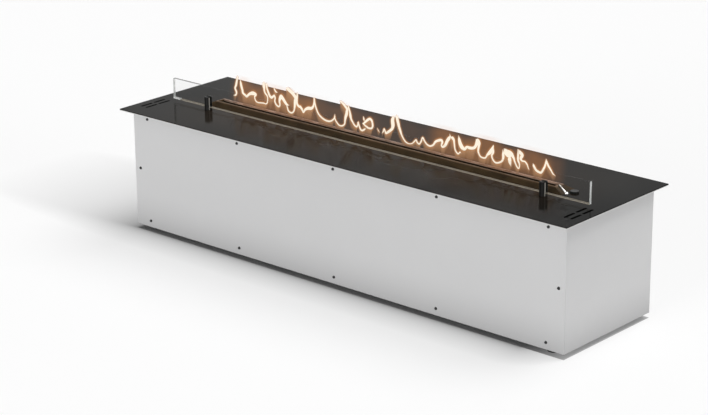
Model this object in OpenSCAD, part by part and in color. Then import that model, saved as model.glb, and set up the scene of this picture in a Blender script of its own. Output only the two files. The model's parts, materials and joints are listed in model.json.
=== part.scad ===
// Bioethanol fireplace with an automatic linear burner in a sheet-metal case.
// Millimetres, Z up. X runs along the burner slot, the glass screen stands on the -Y side,
// and Z = 0 is the floor under the rubber feet.

/* [Top plate] */
// Length of the top plate
plate_l = 1000; // [830:10:1400]
// Depth of the top plate, front to back
plate_d = 280; // [276:2:340]
// Thickness of the top plate
plate_t = 3; // [2:0.5:5]
// Overhang of the plate past the case at each end
end_overhang = 14; // [10:1:16]
// Overhang of the plate past the case at the front and the back
side_overhang = 21; // [14:1:23]

/* [Case] */
// Height of the case, from the underside of the base pan to the plate
case_h = 219; // [212:1:300]
// Thickness of the case's sheet metal
sheet_t = 1.5; // [1:0.5:2]
// Width of the bent flanges of the end panels
flange_w = 20; // [17:1:24]
// Height of the base pan's front and rear flanges
pan_flange_h = 22; // [18:1:30]
// Width of a top rail's flat leg, under the plate
rail_w = 25; // [20:1:32]
// Height of a top rail's upright leg, behind the panel
rail_h = 22; // [18:1:30]
// Depth of the heat shield's floor below the plate
shield_drop = 73; // [72:1:78]
// Distance of the heat shield's ends from the case's ends
shield_inset = 46; // [44:1:60]

/* [Feet] */
// Diameter of a rubber foot
foot_d = 28; // [18:1:32]
// Height of a rubber foot
foot_h = 9; // [3:0.5:12]
// Distance of a foot's centre from the end of the case
foot_end_inset = 36; // [34:1:60]
// Distance of a foot's centre from the front or back of the case
foot_side_inset = 24; // [20:1:30]

/* [Burner rim] */
// Distance from the plate's end to the end of the rim's flat top
rim_end_margin = 118; // [114:1:140]
// Width of the flame slot
slot_w = 15; // [10:0.5:18]
// Width of the flat land beside the slot
land_w = 2.5; // [2:0.5:4]
// Height of the rim above the plate
rim_h = 8; // [5:0.5:12]
// Run of the rim's front and rear slopes
rim_slope_run = 9; // [6:0.5:11]
// Run of the rim's end slopes
rim_end_run = 20; // [16:1:21]
// Thickness of the rim's sheet
rim_t = 1.5; // [1:0.5:2]
// Depth of the rim's collar below the underside of the plate
collar_drop = 1; // [0.5:0.5:4]

/* [Burner trough] */
// Inside width of the trough
trough_w = 40; // [36:1:42]
// Depth of the trough below the plate
trough_h = 60; // [54:1:62]
// Length of the trough past the rim's flat top, at each end
trough_end_gap = 2; // [1:0.5:3]
// Width of the trough's top lip
trough_lip = 10; // [9:0.5:10.5]
// Width of the evaporator channel
evap_w = 32; // [26:1:34]
// Depth of the evaporator's top below the plate
evap_drop = 23; // [20:1:26]
// Distance between the evaporator's end and the trough's end wall
evap_end_gap = 12; // [4:1:20]
// Diameter of the evaporator's holes
evap_hole_d = 5; // [3:0.5:8]
// Spacing of the evaporator's holes
evap_pitch = 16; // [12:1:40]
// Diameter of the heater rod
heater_d = 8; // [6:0.5:10]
// Height of the heater rod's centre above the trough's floor
heater_rise = 8; // [7:0.5:14]
// Length of the heater rod outside the trough
heater_tail = 18; // [10:1:24]
// Number of saddles that carry the heater rod
saddle_count = 3; // [2:1:6]
// Length of a saddle
saddle_l = 5; // [3:0.5:8]
// Width of a saddle
saddle_w = 14; // [13:0.5:20]

/* [Igniter and flame sensor] */
// Diameter of the igniter's hot tip
igniter_tip_d = 5; // [3:0.5:6]
// Length of the igniter's hot tip inside the trough
igniter_tip_l = 32; // [15:1:45]
// Diameter of the igniter's thread
igniter_d = 8; // [7:0.5:9]
// Width of the igniter's hexagon across its corners
igniter_hex_d = 12; // [11:0.5:13]
// Length of the igniter's hexagon
igniter_hex_l = 9; // [6:0.5:10]
// Depth of the igniter's centre below the plate
igniter_drop = 14.5; // [10:0.5:15]
// Distance of the igniter's centre in front of the slot's centre line
igniter_front = 8; // [7:0.5:9]
// Diameter of the flame sensor's rod
sensor_d = 3.6; // [3:0.1:4]
// Diameter of the ball where the sensor bends over
sensor_ball_d = 6; // [5:0.5:7]
// Distance of the sensor's foot from the foot of the rim
sensor_gap = 6.5; // [6:0.5:7]
// Distance of the sensor's foot in front of the slot's centre line
sensor_front = 15; // [14:0.5:16]
// How far the sensor reaches back over the rim's end
sensor_reach = 17; // [16:1:26]
// How far the sensor rises over that reach
sensor_rise = 9.5; // [8.5:0.5:11]
// How far the sensor drifts towards the slot over that reach
sensor_drift = 3; // [0:0.5:5]
// Length of the sensor's stem below the plate
sensor_stem_l = 26; // [15:1:40]

/* [Glass screen] */
// Distance from the plate's end to the glass's end
glass_end_margin = 33.5; // [20:0.5:60]
// Height of the glass
glass_h = 38; // [30:1:120]
// Thickness of the glass
glass_t = 5; // [4:0.5:6]
// Gap between the plate and the glass's lower edge
glass_gap = 5; // [3:0.5:8]
// Distance of the glass in front of the slot's centre line
glass_front = 38; // [38:0.5:42]
// Distance of the glass's centre to the right of the plate's centre
screen_shift = 5; // [0:0.5:5]
// Distance of the midpoint between the posts to the right of the plate's centre
post_shift = 2.5; // [0:0.5:5]
// Diameter of a glass post
post_d = 14; // [14:0.5:18]
// Height of a glass post
post_h = 24; // [20:1:32]
// Distance from the plate's end to a post's centre
post_end_margin = 123; // [100:1:150]
// Thickness of the soft liner in a post's slot
liner_t = 0.8; // [0.6:0.1:1]
// Diameter of the screw that holds a post
post_screw_d = 5; // [3:0.5:5.5]

/* [Air slots] */
// Width of one air slot
vent_w = 5; // [2:0.5:5]
// Length of one air slot
vent_l = 28; // [20:1:30]
// Distance between the two columns of slots
vent_pitch_x = 12.5; // [8:0.5:16]
// Distance between the two rows of slots
vent_pitch_y = 32; // [31:1:36]
// Distance from the plate's end to the outer column
vent_end_margin = 18.5; // [18.5:0.5:24]
// Distance from the plate's front edge to the centre of the front row
vent_front_margin = 50; // [44:1:56]

/* [Cooling fan] */
// Side of the fan's square frame
fan_w = 60; // [50:1:62]
// Thickness of the fan's frame
fan_t = 15; // [12:0.5:16]
// Wall between the fan's bore and the flat of its frame
fan_wall = 2; // [1.5:0.1:3]
// Diameter of the fan's hub
fan_hub_d = 24; // [18:1:28]
// Number of blades
blade_count = 7; // [5:1:9]
// Depth of the fan's seat below the plate
fan_drop = 22; // [20:0.5:26]

/* [Filler] */
// Distance of the filler's centre from the foot of the rim
filler_gap = 8; // [8:0.5:11]
// Distance of the filler's centre behind the slot's centre line
filler_back = 5; // [4:0.5:8]
// Outer diameter of the filler neck
neck_d = 11.5; // [11:0.5:12]
// Bore of the filler neck
neck_bore = 9.5; // [8:0.5:10]
// Height of the neck's end above the plate
neck_rise = 1.5; // [1.5:0.5:3]
// Diameter of the filler cap
cap_d = 14.5; // [14.5:0.5:15]
// Thickness of the filler cap's top
cap_t = 1; // [1:0.2:3]
// Thickness of the seal inside the cap
seal_t = 0.6; // [0.5:0.1:1.5]

/* [Tank] */
// Width of the tank
tank_w = 160; // [120:2:172]
// Height of the tank, without its lid
tank_h = 80; // [70:1:84]
// Thickness of the tank's wall
tank_wall = 1.5; // [1:0.25:2]
// Distance of the tank's right end from the right end of the case
tank_end_inset = 56; // [54:1:58]
// Width of the tank's top lip
tank_lip = 10; // [9:0.5:11]
// Thickness of the tank's gasket
gasket_t = 2; // [1:0.25:3]
// Thickness of the tank's lid
lid_t = 2; // [1.5:0.25:3]
// Width of a tank strap
strap_w = 20; // [12:1:24]
// Length of a strap's foot on the base pan
strap_foot = 12; // [8:0.5:12]
// Thickness of a strap
strap_t = 1.5; // [1:0.25:2]
// Diameter of the level sensor's stem
level_stem_d = 5; // [4:0.5:6]
// Diameter of the float
float_d = 22; // [16:1:24]
// Height of the float
float_h = 14; // [8:1:18]
// How far the float rises
float_travel = 46; // [20:1:50]
// Diameter of the level sensor's flange
level_flange_d = 34; // [32:1:40]

/* [Pump and hoses] */
// Distance between the control box and the pump's motor
motor_gap = 70; // [40:1:100]
// Diameter of the pump's motor
motor_d = 36; // [30:1:38]
// Length of the pump's motor
motor_l = 50; // [40:1:52]
// Diameter of the pump's head
head_d = 44; // [40:1:46]
// Length of the pump's head
head_l = 22; // [20:1:26]
// Diameter of the pump's chamber
chamber_d = 28; // [24:1:30]
// Length of the pump's chamber
chamber_l = 12; // [10:0.5:14]
// Diameter of the pump's shaft
shaft_d = 5; // [4:0.5:6]
// Distance between the pump head and the tank
pump_gap = 43; // [38:1:46]
// Height of the pump's axis above the base pan
pump_rise = 36; // [30:1:40]
// Distance of each pump port from the pump's axis
port_offset = 8; // [7:0.5:9]
// Outer diameter of the hose barbs
barb_d = 6; // [5:0.25:7]
// Bore of the hose barbs
barb_bore = 3.6; // [2:0.2:4]
// Length of the hose barbs
barb_l = 9; // [7:0.5:12]
// Outer diameter of the hoses
hose_d = 10; // [9:0.5:12]
// Radius of the hose bends, to the hose's centre
hose_bend = 16; // [12:1:20]
// Rise of the suction hose above the tank's lid
suction_rise = 36; // [34:1:44]

/* [Electrics] */
// Length of the control box
control_l = 140; // [100:5:150]
// Width of the control box
control_w = 110; // [90:5:130]
// Height of the control box
control_h = 44; // [44:1:70]
// Length of the power supply
supply_l = 105; // [80:5:115]
// Width of the power supply
supply_w = 80; // [60:5:100]
// Height of the power supply
supply_h = 38; // [25:1:60]
// Distance of the power supply from the left end of the case
supply_inset = 36; // [26:1:46]
// Gap between the power supply and the control box
control_gap = 20; // [10:1:30]
// Height of the inlet, the switch and the button above the base pan
socket_rise = 56; // [40:1:110]
// Distance of the mains inlet from the left end of the case
inlet_inset = 66; // [46:1:80]
// Distance of the rocker switch from the mains inlet
switch_pitch = 58; // [52:1:70]
// Distance of the start button from the rocker switch
button_pitch = 46; // [36:1:54]
// Tilt of the rocker to each side
rocker_tilt = 8; // [4:1:9]
// How far the start button travels
button_travel = 2.5; // [1:0.5:4]
// Diameter of the wiring loom
loom_d = 6; // [5:0.5:8]
// Diameter of a single lead
lead_d = 4; // [3:0.5:4.5]

/* [Screws] */
// Shank diameter of the case's screws
screw_d = 3; // [2.5:0.5:3.5]
// Head diameter of the case's screws
screw_head_d = 5.5; // [5:0.5:7]
// Head height of the case's screws
screw_head_h = 1.6; // [1:0.2:2.4]
// Length of the case's screws under the head
screw_l = 8; // [7:0.5:10]
// Screws along the top and the bottom of a panel
row_count = 5; // [3:1:9]
// Distance of the first and last screw of a row from the case's end
row_end_inset = 35.5; // [35.5:0.5:50]
// Distance of the top row below the plate
top_row_drop = 12.5; // [9:0.5:14]
// Distance of the bottom row above the case's underside
bottom_row_rise = 12; // [8:0.5:16]
// Distance of the side screws from the case's end
side_screw_inset = 13; // [8:0.5:15]
// Diameter of the plate's weld studs
stud_d = 4; // [3:0.5:5]
// Length of the plate's weld studs
stud_l = 9; // [8:0.5:14]
// Width of a nut across its corners
nut_d = 8; // [7:0.5:8.5]
// Height of a nut
nut_h = 3.2; // [2:0.2:5]

/* [Hidden] */
$fn = 48;
// Sides of a hexagon
hex = 6;

// Clearance of a fixed piece in its hole, all round
fit_gap = 0.1;
// Clearance of a turning piece on its pin or in its bore, all round
run_gap = 0.05;
// Clearance of a piece that slides loosely, all round
slip_gap = 0.3;
// Gap beside a folded edge
fold_gap = 0.5;
// Overrun of a cut past the face that it opens
over = 1;

// Case
case_l = plate_l - 2 * end_overhang;
case_d = plate_d - 2 * side_overhang;
case_z0 = foot_h;
case_z1 = case_z0 + case_h;
plate_z1 = case_z1 + plate_t;
floor_z = case_z0 + sheet_t;
pan_x = case_l / 2 - sheet_t;
pan_y = case_d / 2 - sheet_t;
rail_x = pan_x - flange_w - fold_gap;
shield_z = case_z1 - shield_drop;
shield_x = case_l / 2 - shield_inset;
shield_y = pan_y - sheet_t;

// Screw pattern of the front and rear panels, as X and Z
row_x = case_l / 2 - row_end_inset;
row_pitch = 2 * row_x / (row_count - 1);
top_row_z = case_z1 - top_row_drop;
bottom_row_z = case_z0 + bottom_row_rise;
side_screw_x = case_l / 2 - side_screw_inset;
panel_points = concat(
    [for (i = [0:row_count - 1]) [-row_x + i * row_pitch, top_row_z]],
    [for (i = [0:row_count - 1]) [-row_x + i * row_pitch, bottom_row_z]],
    [for (side = [-1, 1]) [side * side_screw_x, (case_z0 + case_z1) / 2]]);

// Screws up through the base pan into the end panels, three to an end
base_screw_y_share = 0.68;
base_screw_x = pan_x - flange_w / 2;
base_points = [for (end = [-1, 1], side = [-1, 0, 1])
    [end * base_screw_x, side * base_screw_y_share * pan_y]];

// Burner
rim_x = plate_l / 2 - rim_end_margin;
rim_foot_x = rim_x + rim_end_run;
rim_y = slot_w / 2 + land_w;
rim_foot_y = rim_y + rim_slope_run;
slot_x = rim_x - land_w;
rim_z1 = plate_z1 + rim_h;
collar_z0 = case_z1 - collar_drop;
trough_x = rim_x + trough_end_gap;
trough_z0 = case_z1 - trough_h;
trough_floor_z = trough_z0 + sheet_t;
trough_out_x = trough_x + sheet_t;
trough_out_y = trough_w / 2 + sheet_t;
evap_x = trough_x - evap_end_gap;
evap_z1 = case_z1 - evap_drop;
evap_holes = floor((2 * evap_x - evap_pitch) / evap_pitch);
evap_first_x = -(evap_holes - 1) * evap_pitch / 2;
heater_z = trough_floor_z + heater_rise;
igniter_z = case_z1 - igniter_drop;
sensor_x = rim_foot_x + sensor_gap;
sensor_vector = [-sensor_reach, sensor_drift, sensor_rise];

// Weld studs under the plate: four to a rail, four to each side of the trough
rail_stud_shares = [-0.86, -0.32, 0.32, 0.86];
trough_stud_shares = [-0.86, -0.29, 0.29, 0.86];
rail_stud_y = pan_y - rail_w / 2;
trough_stud_y = trough_out_y + trough_lip / 2;
rail_studs = [for (share = rail_stud_shares, side = [-1, 1]) [share * rail_x, side * rail_stud_y]];
trough_studs = [for (share = trough_stud_shares, side = [-1, 1]) [share * trough_x, side * trough_stud_y]];

// Glass screen and its posts
glass_x = plate_l / 2 - glass_end_margin;
glass_z0 = plate_z1 + glass_gap;
post_x = plate_l / 2 - post_end_margin;
post_slot_w = glass_t + 2 * (liner_t + fit_gap);
liner_out_w = post_slot_w - 2 * fit_gap;
liner_slot_w = glass_t + 2 * fit_gap;
post_slot_z = glass_z0 - liner_t;
post_edge = 0.8;
post_bore_z1 = post_slot_z - liner_t;
post_screw_l = post_bore_z1 - fit_gap - case_z1;
post_head_d = 8;
post_head_h = 2.5;

// Air slots and fan
vent_x = plate_l / 2 - vent_end_margin;
vent_y = -plate_d / 2 + vent_front_margin;
fan_x = pan_x - fan_w / 2 - fold_gap;
fan_y = vent_y + vent_pitch_y / 2;
fan_z0 = case_z1 - fan_drop;
fan_bore_d = fan_w - 2 * fan_wall;
fan_floor_t = 2;
fan_arm_w = 4;
fan_pin_d = 3;
fan_tip_gap = 0.8;
fan_hole_d = 4;
fan_hole_inset = 5;
fan_leg_h = 40;
blade_t = 1.2;
blade_chord = 13;
blade_tilt = 38;
rotor_lift = 0.6;
rotor_top_gap = 0.8;
rotor_cap_t = 1.6;
rotor_z0 = fan_z0 + fan_floor_t + rotor_lift;
rotor_z1 = fan_z0 + fan_t - rotor_top_gap;
rotor_bore_z1 = rotor_z1 - rotor_cap_t;

// Filler
filler_x = rim_foot_x + filler_gap;
neck_flange_d = 20;
neck_flange_t = 3;
neck_reach = 4;
neck_z1 = plate_z1 + neck_rise;
cap_bore_h = neck_rise + seal_t;
grip_count = 16;
grip_d = 1.6;
grip_depth = 0.5;

// Row of pieces on the base pan: power supply, control box and pump from the left, and the tank in the rest
supply_x0 = -case_l / 2 + supply_inset;
supply_x1 = supply_x0 + supply_l;
control_x0 = supply_x1 + control_gap;
control_x1 = control_x0 + control_l;
motor_x0 = control_x1 + motor_gap;
pump_x0 = motor_x0 + motor_l;
pump_x1 = pump_x0 + head_l;
tank_x0 = pump_x1 + pump_gap;
tank_x1 = case_l / 2 - tank_end_inset;
tank_l = tank_x1 - tank_x0;

// Tank, from its floor up to its lid
tank_y = tank_w / 2;
tank_floor_z1 = floor_z + tank_wall;
tank_z1 = floor_z + tank_h;
gasket_z1 = tank_z1 + gasket_t;
lid_z1 = gasket_z1 + lid_t;
lid_screw_shares = [0.06, 0.28, 0.5, 0.72, 0.94];
lid_end_share = 0.5;
lid_head_share = 1.75;
lid_screw_y = tank_y + tank_lip / 2;
lid_screw_l = lid_t + gasket_t + tank_wall + stud_d;
strap_shares = [0.39, 0.61];
strap_y = tank_y + tank_lip + fold_gap;
lid_points = concat(
    [for (share = lid_screw_shares, side = [-1, 1]) [tank_x0 + share * tank_l, side * lid_screw_y]],
    [for (x = [tank_x0 - tank_lip / 2, tank_x1 + tank_lip / 2], side = [-1, 1])
        [x, side * lid_end_share * tank_y]]);
level_x = tank_x0 + tank_l / 2;
level_hole_d = float_d + 4 * fold_gap;
level_flange_t = 3;
level_head_d = 18;
level_head_h = 12;
level_collar_d = 10;
level_collar_h = 3;
level_foot_gap = 4;
level_z0 = tank_floor_z1 + level_foot_gap;
level_z1 = lid_z1 + level_flange_t + level_head_h;
float_z0 = level_z0 + level_collar_h;
float_z1 = float_z0 + float_h + float_travel;
dip_inset = 26;
dip_x = tank_x0 + dip_inset;
dip_foot_gap = 5;
dip_z0 = tank_floor_z1 + dip_foot_gap;
overflow_inset = 62;
overflow_x = tank_x0 + overflow_inset;

// Pump and hoses
hose_bore = barb_d + 2 * fit_gap;
pump_z = floor_z + pump_rise;
port_x = pump_x0 + chamber_l / 2;
port_drop = 4;
port_z = pump_z + head_d / 2 - port_drop;
port_top_z = pump_z + head_d / 2 + barb_l;
hose_seat = 1;
shaft_l = 30;
rotor_gap = 0.5;
rotor_hub_d = 12;
vane_count = 8;
vane_t = 1.6;
bracket_l = 30;
bracket_x1 = pump_x0 - (motor_l - bracket_l) / 2;
bracket_w = 44;
bracket_foot_w = 22;
bracket_t = 3;
terminal_l = 6;
terminal_y = motor_d / 4;
suction_z = lid_z1 + suction_rise;

// Electrics
supply_y = supply_w / 2;
supply_z1 = floor_z + supply_h;
control_y = control_w / 2;
control_z1 = floor_z + control_h;
box_wall = 2;
standoff_d = 7;
standoff_h = 6;
standoff_inset = 9;
board_t = 1.6;
board_gap = 2;
block_w = 14;
block_h = 10;
block_count = 4;
capacitor_h = 20;
supply_rib_w = 3;
supply_rib_count = 7;
supply_rib_depth = 1.5;
socket_z = floor_z + socket_rise;
inlet_x = -case_l / 2 + inlet_inset;
switch_x = inlet_x + switch_pitch;
button_x = switch_x + button_pitch;
rear_y = case_d / 2;
inlet_flange = [50, 3, 28];
inlet_body = [29, 22, 21];
inlet_recess = [24, 17, 16];
inlet_pin = [2, 12, 4];
inlet_pin_pitch = 7;
inlet_screw_x = 20;
inlet_y0 = rear_y + inlet_flange.y - inlet_body.y;

// Switch: the rocker's pin lies rocker_sink behind the bezel, and its level ends stand rocker_rise proud
switch_flange = [32, 2, 25];
switch_body = [29, 18, 22];
switch_y0 = rear_y + switch_flange.y - switch_body.y;
rocker_l = 24;
rocker_w = 17;
rocker_sink = 5;
rocker_back = 4;
rocker_rise = 1.4;
rocker_dish = 1;
rocker_gap = 1.5;
rocker_pin_d = 3;
rocker_pin_l = 1.6;
rocker_y = rear_y + switch_flange.y - rocker_sink;

// Button: its collar rests under the housing's shoulder
button_flange_d = 16;
button_flange_t = 2;
button_body_d = 12.5;
button_wall = 1.5;
button_d = 8;
button_proud = 4;
button_collar_d = 10;
button_collar_t = 1.5;
button_well = button_collar_t + button_travel + 2 * button_wall;
button_body_l = button_well + 2 * button_wall;
button_y0 = rear_y - button_body_l;

// Wiring: the trunk runs behind the tank, up past the shield's end and forward to the fan
loom_bend = 2 * loom_d;
loom_x = fan_x;
loom_y = strap_y + strap_t + loom_d;
loom_z = floor_z + 4 * loom_d;
loom_top_z = igniter_z;
loom_entry_y = control_y - 2 * loom_d;
fan_rear_y = fan_y + fan_w / 2;
lead_bend = 2 * lead_d;
lead_leg = 3 * lead_d;
terminal_d = lead_d;
rear_lead_y = (supply_y + block_w + inlet_y0) / 2;
trunk_route = [
    [control_x1 - box_wall, loom_entry_y, loom_z],
    [control_x1 + 2 * loom_bend, loom_entry_y, loom_z],
    [control_x1 + 2 * loom_bend, loom_y, loom_z],
    [loom_x, loom_y, loom_z],
    [loom_x, loom_y, loom_top_z],
    [loom_x, fan_rear_y, loom_top_z]];
lead_routes = [
    // Igniter and flame sensor, which join the trunk above the shield
    [[trough_out_x + igniter_hex_l, -igniter_front, igniter_z], [loom_x, -igniter_front, igniter_z]],
    [[sensor_x, -sensor_front, case_z1 - sensor_stem_l],
        [sensor_x, -sensor_front, case_z1 - sensor_stem_l - lead_leg],
        [loom_x, -sensor_front, case_z1 - sensor_stem_l - lead_leg],
        [loom_x, -sensor_front, loom_top_z]],
    // Level sensor, which joins the trunk behind the tank
    [[level_x, 0, level_z1], [level_x, 0, level_z1 + lead_leg],
        [level_x, loom_y, level_z1 + lead_leg], [level_x, loom_y, loom_z]],
    // Pump motor's two terminals
    [[control_x1 - box_wall, -terminal_y, pump_z], [motor_x0 - terminal_l, -terminal_y, pump_z]],
    [[control_x1 - box_wall, terminal_y, pump_z], [motor_x0 - terminal_l, terminal_y, pump_z]],
    // Heater rod, down past the shield's end to the power supply
    [[-trough_out_x - heater_tail, 0, heater_z], [supply_x0 - lead_leg, 0, heater_z],
        [supply_x0 - lead_leg, 0, floor_z + supply_h / 2], [supply_x0, 0, floor_z + supply_h / 2]],
    // Power supply to control box
    [[supply_x1, 0, floor_z + supply_h / 2], [control_x0, 0, floor_z + supply_h / 2]],
    // Mains inlet to power supply, and to the switch
    [[inlet_x - inlet_pin_pitch, inlet_y0, socket_z], [inlet_x - inlet_pin_pitch, rear_lead_y, socket_z],
        [inlet_x - inlet_pin_pitch, rear_lead_y, floor_z + block_h / 2],
        [inlet_x - inlet_pin_pitch, supply_y + block_w, floor_z + block_h / 2]],
    [[inlet_x + inlet_pin_pitch, inlet_y0, socket_z], [inlet_x + inlet_pin_pitch, rear_lead_y, socket_z],
        [switch_x, rear_lead_y, socket_z], [switch_x, switch_y0, socket_z]],
    // Start button to control box
    [[button_x, button_y0, socket_z], [button_x, rear_lead_y, socket_z],
        [control_x0 + control_l / 2, rear_lead_y, socket_z],
        [control_x0 + control_l / 2, rear_lead_y, floor_z + control_h / 2],
        [control_x0 + control_l / 2, control_y, floor_z + control_h / 2]]];

// Box between two corners
module block(low, high) {
    translate(low) cube(high - low);
}

// Box given by its size, centred in X and Z, from its near face to +Y
module wall_block(size) {
    translate([-size.x / 2, 0, -size.z / 2]) cube(size);
}

module both_sides() {
    for (side = [0, 1]) mirror([0, side, 0]) children();
}

module both_ends() {
    for (end = [0, 1]) mirror([end, 0, 0]) children();
}

// Turns the Z axis of what follows onto a direction
module aim(dir) {
    rotate([0, acos(dir.z / norm(dir)), atan2(dir.y, dir.x)]) children();
}

module rod(from, to, d) {
    translate(from) aim(to - from) cylinder(d = d, h = norm(to - from));
}

// Quarter bend that turns the direction in into the direction out at a corner
module quarter_bend(corner, in, out, bend, d) {
    centre = corner - bend * in + bend * out;
    side = cross(-out, in);
    multmatrix([
        [-out.x, in.x, side.x, centre.x],
        [-out.y, in.y, side.y, centre.y],
        [-out.z, in.z, side.z, centre.z]])
        rotate_extrude(angle = 90) translate([bend, 0]) circle(d = d);
}

function unit(v) = v / norm(v);

// Round bar through a list of points whose legs meet at right angles, run on by extra at both ends
module bent_bar(points, bend, d, extra = 0) {
    last = len(points) - 1;
    for (i = [0:last - 1]) {
        dir = unit(points[i + 1] - points[i]);
        from = points[i] + dir * (i == 0 ? -extra : bend);
        to = points[i + 1] - dir * (i == last - 1 ? -extra : bend);
        rod(from, to, d);
        if (i > 0) quarter_bend(points[i], unit(points[i] - points[i - 1]), dir, bend, d);
    }
}

module hose(points) {
    difference() {
        bent_bar(points, hose_bend, hose_d);
        bent_bar(points, hose_bend, hose_bore, over);
    }
}

module barb(at, length, up) {
    translate(at) mirror([0, 0, up ? 0 : 1]) cylinder(d = barb_d, h = length);
}

// Button-head screw with a hexagon socket: the head stands on +Z, the shank points to -Z
module screw(d, length, head_d, head_h) {
    crown_share = 0.8;
    socket_share = 0.8;
    difference() {
        union() {
            translate([0, 0, -length]) cylinder(d = d, h = length);
            cylinder(d1 = head_d, d2 = crown_share * head_d, h = head_h);
        }
        translate([0, 0, head_h / 2]) cylinder(d = socket_share * d, h = head_h, $fn = hex);
    }
}

module panel_screw_set(side) {
    for (p = panel_points)
        translate([p.x, side * case_d / 2, p.y])
            rotate([-side * 90, 0, 0])
                screw(screw_d, screw_l, screw_head_d, screw_head_h);
}

// Holes for both panels' screws, right through the case
module panel_bores() {
    for (p = panel_points)
        translate([p.x, 0, p.y])
            rotate([90, 0, 0])
                cylinder(d = screw_d + 2 * fit_gap, h = case_d + 2 * over, center = true);
}

module base_bores() {
    for (p = base_points)
        translate([p.x, p.y, case_z0 - over])
            cylinder(d = screw_d + 2 * fit_gap, h = 2 * sheet_t + 2 * over);
}

module down_bores(points, z, d, depth) {
    for (p = points)
        translate([p.x, p.y, z - depth - over]) cylinder(d = d, h = depth + 2 * over);
}

// Hip-roof solid: the overlap of two trapezium prisms, so that every face is flat
module hip_roof(top_x, top_y, run_x, run_y, height) {
    foot_x = top_x + run_x;
    foot_y = top_y + run_y;
    intersection() {
        rotate([90, 0, 90])
            linear_extrude(2 * foot_x, center = true)
                polygon([[-foot_y, 0], [foot_y, 0], [top_y, height], [-top_y, height]]);
        rotate([90, 0, 0])
            linear_extrude(2 * foot_y, center = true)
                polygon([[-foot_x, 0], [foot_x, 0], [top_x, height], [-top_x, height]]);
    }
}

module base_pan() {
    color("silver") difference() {
        union() {
            block([-pan_x, -pan_y, case_z0], [pan_x, pan_y, floor_z]);
            both_sides()
                block([-rail_x, pan_y - sheet_t, case_z0], [rail_x, pan_y, case_z0 + pan_flange_h]);
        }
        panel_bores();
        base_bores();
    }
}

module front_panel() {
    color("lightgray") difference() {
        block([-case_l / 2, -case_d / 2, case_z0], [case_l / 2, -pan_y, case_z1]);
        panel_bores();
    }
}

module rear_panel() {
    color("lightgray") difference() {
        block([-case_l / 2, pan_y, case_z0], [case_l / 2, case_d / 2, case_z1]);
        panel_bores();
        translate([inlet_x, pan_y - over, socket_z])
            wall_block([inlet_body.x + 2 * fit_gap, sheet_t + 2 * over, inlet_body.z + 2 * fit_gap]);
        for (end = [-1, 1])
            translate([inlet_x + end * inlet_screw_x, case_d / 2, socket_z])
                rotate([90, 0, 0])
                    cylinder(d = screw_d + 2 * fit_gap, h = 2 * (sheet_t + over), center = true);
        translate([switch_x, pan_y - over, socket_z])
            wall_block([switch_body.x + 2 * fit_gap, sheet_t + 2 * over, switch_body.z + 2 * fit_gap]);
        translate([button_x, case_d / 2, socket_z])
            rotate([90, 0, 0])
                cylinder(d = button_body_d + 2 * fit_gap, h = 2 * (sheet_t + over), center = true);
    }
}

module end_panel() {
    color("lightgray") difference() {
        union() {
            block([pan_x, -pan_y, case_z0], [case_l / 2, pan_y, case_z1]);
            both_sides()
                block([pan_x - flange_w, pan_y - sheet_t, floor_z], [case_l / 2, pan_y, case_z1]);
            block([pan_x - flange_w, -pan_y, floor_z], [case_l / 2, pan_y, floor_z + sheet_t]);
        }
        panel_bores();
        base_bores();
    }
}

module left_end_panel() {
    mirror([1, 0, 0]) end_panel();
}

module right_end_panel() {
    end_panel();
}

module top_rail() {
    color("silver") difference() {
        union() {
            block([-rail_x, pan_y - sheet_t, case_z1 - rail_h], [rail_x, pan_y, case_z1]);
            block([-rail_x, pan_y - rail_w, case_z1 - sheet_t], [rail_x, pan_y, case_z1]);
        }
        panel_bores();
        down_bores(rail_studs, case_z1, stud_d + 2 * fit_gap, sheet_t);
    }
}

module front_top_rail() {
    mirror([0, 1, 0]) top_rail();
}

module rear_top_rail() {
    top_rail();
}

module case_screws() {
    color([0.08, 0.08, 0.08]) {
        for (side = [-1, 1]) panel_screw_set(side);
        for (p = base_points)
            translate([p.x, p.y, case_z0])
                mirror([0, 0, 1]) screw(screw_d, screw_l, screw_head_d, screw_head_h);
        for (end = [-1, 1])
            translate([inlet_x + end * inlet_screw_x, rear_y + inlet_flange.y, socket_z])
                rotate([-90, 0, 0]) screw(screw_d, screw_l, screw_head_d, screw_head_h);
    }
}

module foot(end, side) {
    foot_x = case_l / 2 - foot_end_inset;
    foot_y = case_d / 2 - foot_side_inset;
    color([0.1, 0.1, 0.1])
        translate([end * foot_x, side * foot_y, 0])
            cylinder(d1 = foot_d - foot_h / 2, d2 = foot_d, h = foot_h);
}

module foot_front_left() {
    foot(-1, -1);
}

module foot_front_right() {
    foot(1, -1);
}

module foot_rear_left() {
    foot(-1, 1);
}

module foot_rear_right() {
    foot(1, 1);
}

module air_slots() {
    for (column = [0, 1], row = [0, 1])
        translate([vent_x - column * vent_pitch_x, vent_y + row * vent_pitch_y, case_z1 - over])
            linear_extrude(plate_t + 2 * over) union() {
                square([vent_w, vent_l - vent_w], center = true);
                for (side = [-1, 1])
                    translate([0, side * (vent_l - vent_w) / 2]) circle(d = vent_w);
            }
}

module top_plate() {
    color([0.2, 0.2, 0.19]) difference() {
        block([-plate_l / 2, -plate_d / 2, case_z1], [plate_l / 2, plate_d / 2, plate_z1]);
        block([-slot_x - rim_t - fold_gap, -slot_w / 2 - rim_t - fold_gap, case_z1 - over],
            [slot_x + rim_t + fold_gap, slot_w / 2 + rim_t + fold_gap, plate_z1 + over]);
        both_ends() air_slots();
        down_bores([for (end = [-1, 1]) [post_shift + end * post_x, -glass_front]], plate_z1,
            post_screw_d + 2 * fit_gap, plate_t);
        down_bores([[filler_x, filler_back]], plate_z1, neck_d + 2 * fit_gap, plate_t);
        down_bores([[sensor_x, -sensor_front]], plate_z1, sensor_d + 2 * fit_gap, plate_t);
    }
}

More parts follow.
